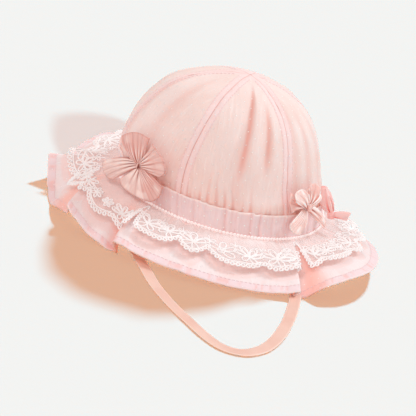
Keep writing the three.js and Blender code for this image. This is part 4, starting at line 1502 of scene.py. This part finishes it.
def makeLoop(bowName, loopName, bow, material):
    loop, look = bow["loops"][loopName], bowLook
    path, length = evenPath(np.array(loop["line"], float), look["loopColumns"] + 1)
    u, v = np.meshgrid(np.linspace(0, 1, look["loopColumns"] + 1), np.linspace(0, 1, look["loopRows"] + 1))
    across = unit(np.array(loop["across"], float))
    width = loop["width"] * (0.3 + 0.7 * np.sin(math.pi * u) ** 0.6)
    tangents = unit(np.gradient(path, axis=0))
    normals = unit(np.cross(np.broadcast_to(across, tangents.shape), tangents))
    gathers = np.abs(np.sin(math.pi * (4 * v + 0.5 * softNoise(u * 4, v * 2, 71))))
    relief = look["loopGathers"] * gathers * (1 - np.sin(math.pi * u))
    relief += look["loopFulness"] * np.sin(math.pi * v)
    relief += look["loopFlutter"] * softNoise(u * 5, v * 1.5, 72 + len(loopName))
    places = path[None] + across * (width * (v - 0.5))[..., None] + normals[None] * relief[..., None]
    grid = ontoBow(bow, places)
    uv = np.stack([(v - 0.5) * width * mm, u * length * mm], -1)
    edgeGap = np.minimum(v, 1 - v) * width * mm
    shade = loop["shade"] * (0.75 + 0.25 * softNoise(u * 4, v * 2, 73))
    # painted shade where the ribbon goes into the knot
    valley = 0.7 * np.clip(1 - 2.2 * np.sin(math.pi * u), 0, 1)
    bowPiece(bowName, loopName, bow, grid, look["wall"], uv, material, grid - ontoBow(bow, path.mean(0)),
             edgeGap=edgeGap, shade=shade, valley=valley)


def makeKnot(bowName, bow, material):
    # a creased band of cloth wound round the middle of the bow
    lat, lon = np.meshgrid(np.linspace(0.03, math.pi - 0.03, 27), turnsRound(48), indexing="ij")
    creases = np.abs(np.sin(3.5 * lat + 0.4 * np.sin(2 * lon)))
    crease = 1 + 0.13 * creases + 0.05 * np.sin(3 * lon)
    waist = 0.82 + 0.18 * np.cos(lat) ** 2
    wide, tall, deep = bow["knotSize"]
    x = wide * crease * np.sin(lat) ** 0.7 * np.cos(lon) * waist
    z = deep * crease * np.sin(lat) ** 0.7 * np.sin(lon) * waist
    y = tall * np.cos(lat)
    grid = ontoBow(bow, np.array(bow["knot"]) + np.stack([x, y, z], -1))
    uv = np.stack([np.append(lon, lon[:, :1] + 2 * math.pi, 1), np.append(lat, lat[:, :1], 1)], -1) * 3 * mm
    # painted shade in the knot's creases and on one side of it
    valley = np.maximum(0.8 * np.clip(1 - 3 * creases, 0, 1),
                        bow["knotSideShade"] * smooth(np.cos(lon), 0.1, 0.6) * smooth(lat, 0.5, 0.9))
    outward = grid - ontoBow(bow, bow["knot"])
    bowPiece(bowName, "knot", bow, grid, bowLook["knotWall"], uv, material, outward, closed=True,
             edgeGap=np.full(x.shape, 2 * mm), shade=np.full(x.shape, 0.25), valley=0.7 * valley)


bowMaterials = {
    "left": voileMaterial("roseVoile", roseLook),
    "right": voileMaterial("blushVoile", blushLook),
    "satin": satinMaterial("coralSatin", coralLook),
}
for bowName, bow in bows.items():
    for petalName in bow["petals"]:
        makePetal(bowName, petalName, bow, bowMaterials[bowName])
    for loopName in bow["loops"]:
        makeLoop(bowName, loopName, bow, bowMaterials[bowName])
    makeKnot(bowName, bow, bowMaterials[bowName])
print("bows tied")


# floor and light

everyPiece = ("",)  # what the names of the pieces that stop a light begin with
studio = {
    "floorSize": 30, "floorColour": (0.17, 0.15, 0.11, 1), "floorDeep": (0.165, 0.1455, 0.1067, 1),
    "sheen": 0.0, "sheenTint": "ffffff", "specular": 0.0, "glow": "000000", "glowStrength": 0.0,
    "fill": (0.83, 0.77, 0.725, 1), "fillStrength": 0.88,
    "seen": (0.9, 0.9, 0.88, 1),
    # each sun: where it comes from, colour, strength, angle, what it falls on and which pieces stop it
    "suns": {
        "keyLight": ((0.6, 0.3, 0.7), (0.75, 0.95, 1.0), 1.35, 10, "hat", everyPiece),
        "liftLight": ((-0.4, -0.45, 0.75), (1.0, 0.96, 0.96), 0.75, 30, "hat", everyPiece),
        "floorLight": ((0.2, 0.8, 0.56), (0.1735, 0.58, 1.0), 30.15, 5, "floor", everyPiece),
        "sideLight": ((0.53, -0.85, 0.51), (0.2576, 0.679, 1.0), 14.28, 3, "floor",
                      ("crown", "hatBand", "leftBow")),
        "floorWarmth": ((0, 0, 1), (1.0, 0.2695, 0.0), 9.72, 20, "floor", ()),
    },
    "glowColour": (0.863, 1.0, 0.909), "glowPower": 0.15, "glowSize": 0.235, "glowHeight": 0.013,
}


def addLight(name, kind, colour, strength, fallsOn, stoppedBy, floor):
    # the floor and the hat have lights of their own, and some pieces let a light through
    light = addObject(name, bpy.data.lights.new(name, kind))
    light.data.energy = strength
    light.data.color = colour
    lit = bpy.data.collections.new(name + "FallsOn")
    lit.objects.link(floor)
    light.light_linking.receiver_collection = lit
    if fallsOn == "hat":
        lit.collection_objects[0].light_linking.link_state = "EXCLUDE"
    if stoppedBy != everyPiece:
        stops = bpy.data.collections.new(name + "StoppedBy")
        for piece in [o for o in bpy.context.scene.objects if o.name.startswith(stoppedBy)] + [floor]:
            stops.objects.link(piece)
        light.light_linking.blocker_collection = stops
    return light


def addSun(name, fromWhere, colour, strength, angle, fallsOn, stoppedBy, floor):
    sun = addLight(name, "SUN", colour, strength, fallsOn, stoppedBy, floor)
    sun.data.angle = math.radians(angle)
    sun.rotation_mode = "QUATERNION"
    sun.rotation_quaternion = (-Vector(fromWhere)).to_track_quat("-Z", "Y")


def makeGlow(look, floor):
    # light that comes through the cloth to the floor under the hat
    glow = addLight("clothGlow", "AREA", look["glowColour"], look["glowPower"], "floor", everyPiece, floor)
    glow.data.shape = "DISK"
    glow.data.size = look["glowSize"]
    glow.location = (0, 0, look["glowHeight"])
    glow.visible_camera = False


def makeStudio(look):
    material, tree, shader = newMaterial("paleFloor", 0.9, look)
    grain = noiseNode(tree, addNode(tree, "TexCoord", {}, "Object"), 3.0)
    colour = mixColour(tree, timesNode(tree, grain, 0.06), look["floorColour"], look["floorDeep"])
    tree.links.new(colour, shader.inputs["Base Color"])
    half = 0.5 * look["floorSize"]
    corners = [(-half, -half, 0), (half, -half, 0), (half, half, 0), (-half, half, 0)]
    floor = newPiece("floor", corners, [(0, 1, 2, 3)], material)
    makeWorld(look)
    for name, given in look["suns"].items():
        addSun(name, *given, floor)
    makeGlow(look, floor)
    bpy.context.scene.view_settings.view_transform = "Standard"


def makeWorld(look):
    # the fill light, and the paler ground that shows behind the floor
    world = bpy.data.worlds.new("studio")
    bpy.context.scene.world = world
    world.use_nodes = True
    nodes, links = world.node_tree.nodes, world.node_tree.links
    fill = next(n for n in nodes if n.type == "BACKGROUND")
    fill.inputs["Color"].default_value = look["fill"]
    fill.inputs["Strength"].default_value = look["fillStrength"]
    seen = nodes.new("ShaderNodeBackground")
    seen.inputs["Color"].default_value = look["seen"]
    mixed = nodes.new("ShaderNodeMixShader")
    links.new(nodes.new("ShaderNodeLightPath").outputs["Is Camera Ray"], mixed.inputs[0])
    links.new(fill.outputs[0], mixed.inputs[1])
    links.new(seen.outputs[0], mixed.inputs[2])
    links.new(mixed.outputs[0], next(n for n in nodes if n.type == "OUTPUT_WORLD").inputs[0])


makeStudio(studio)
print("studio lit")
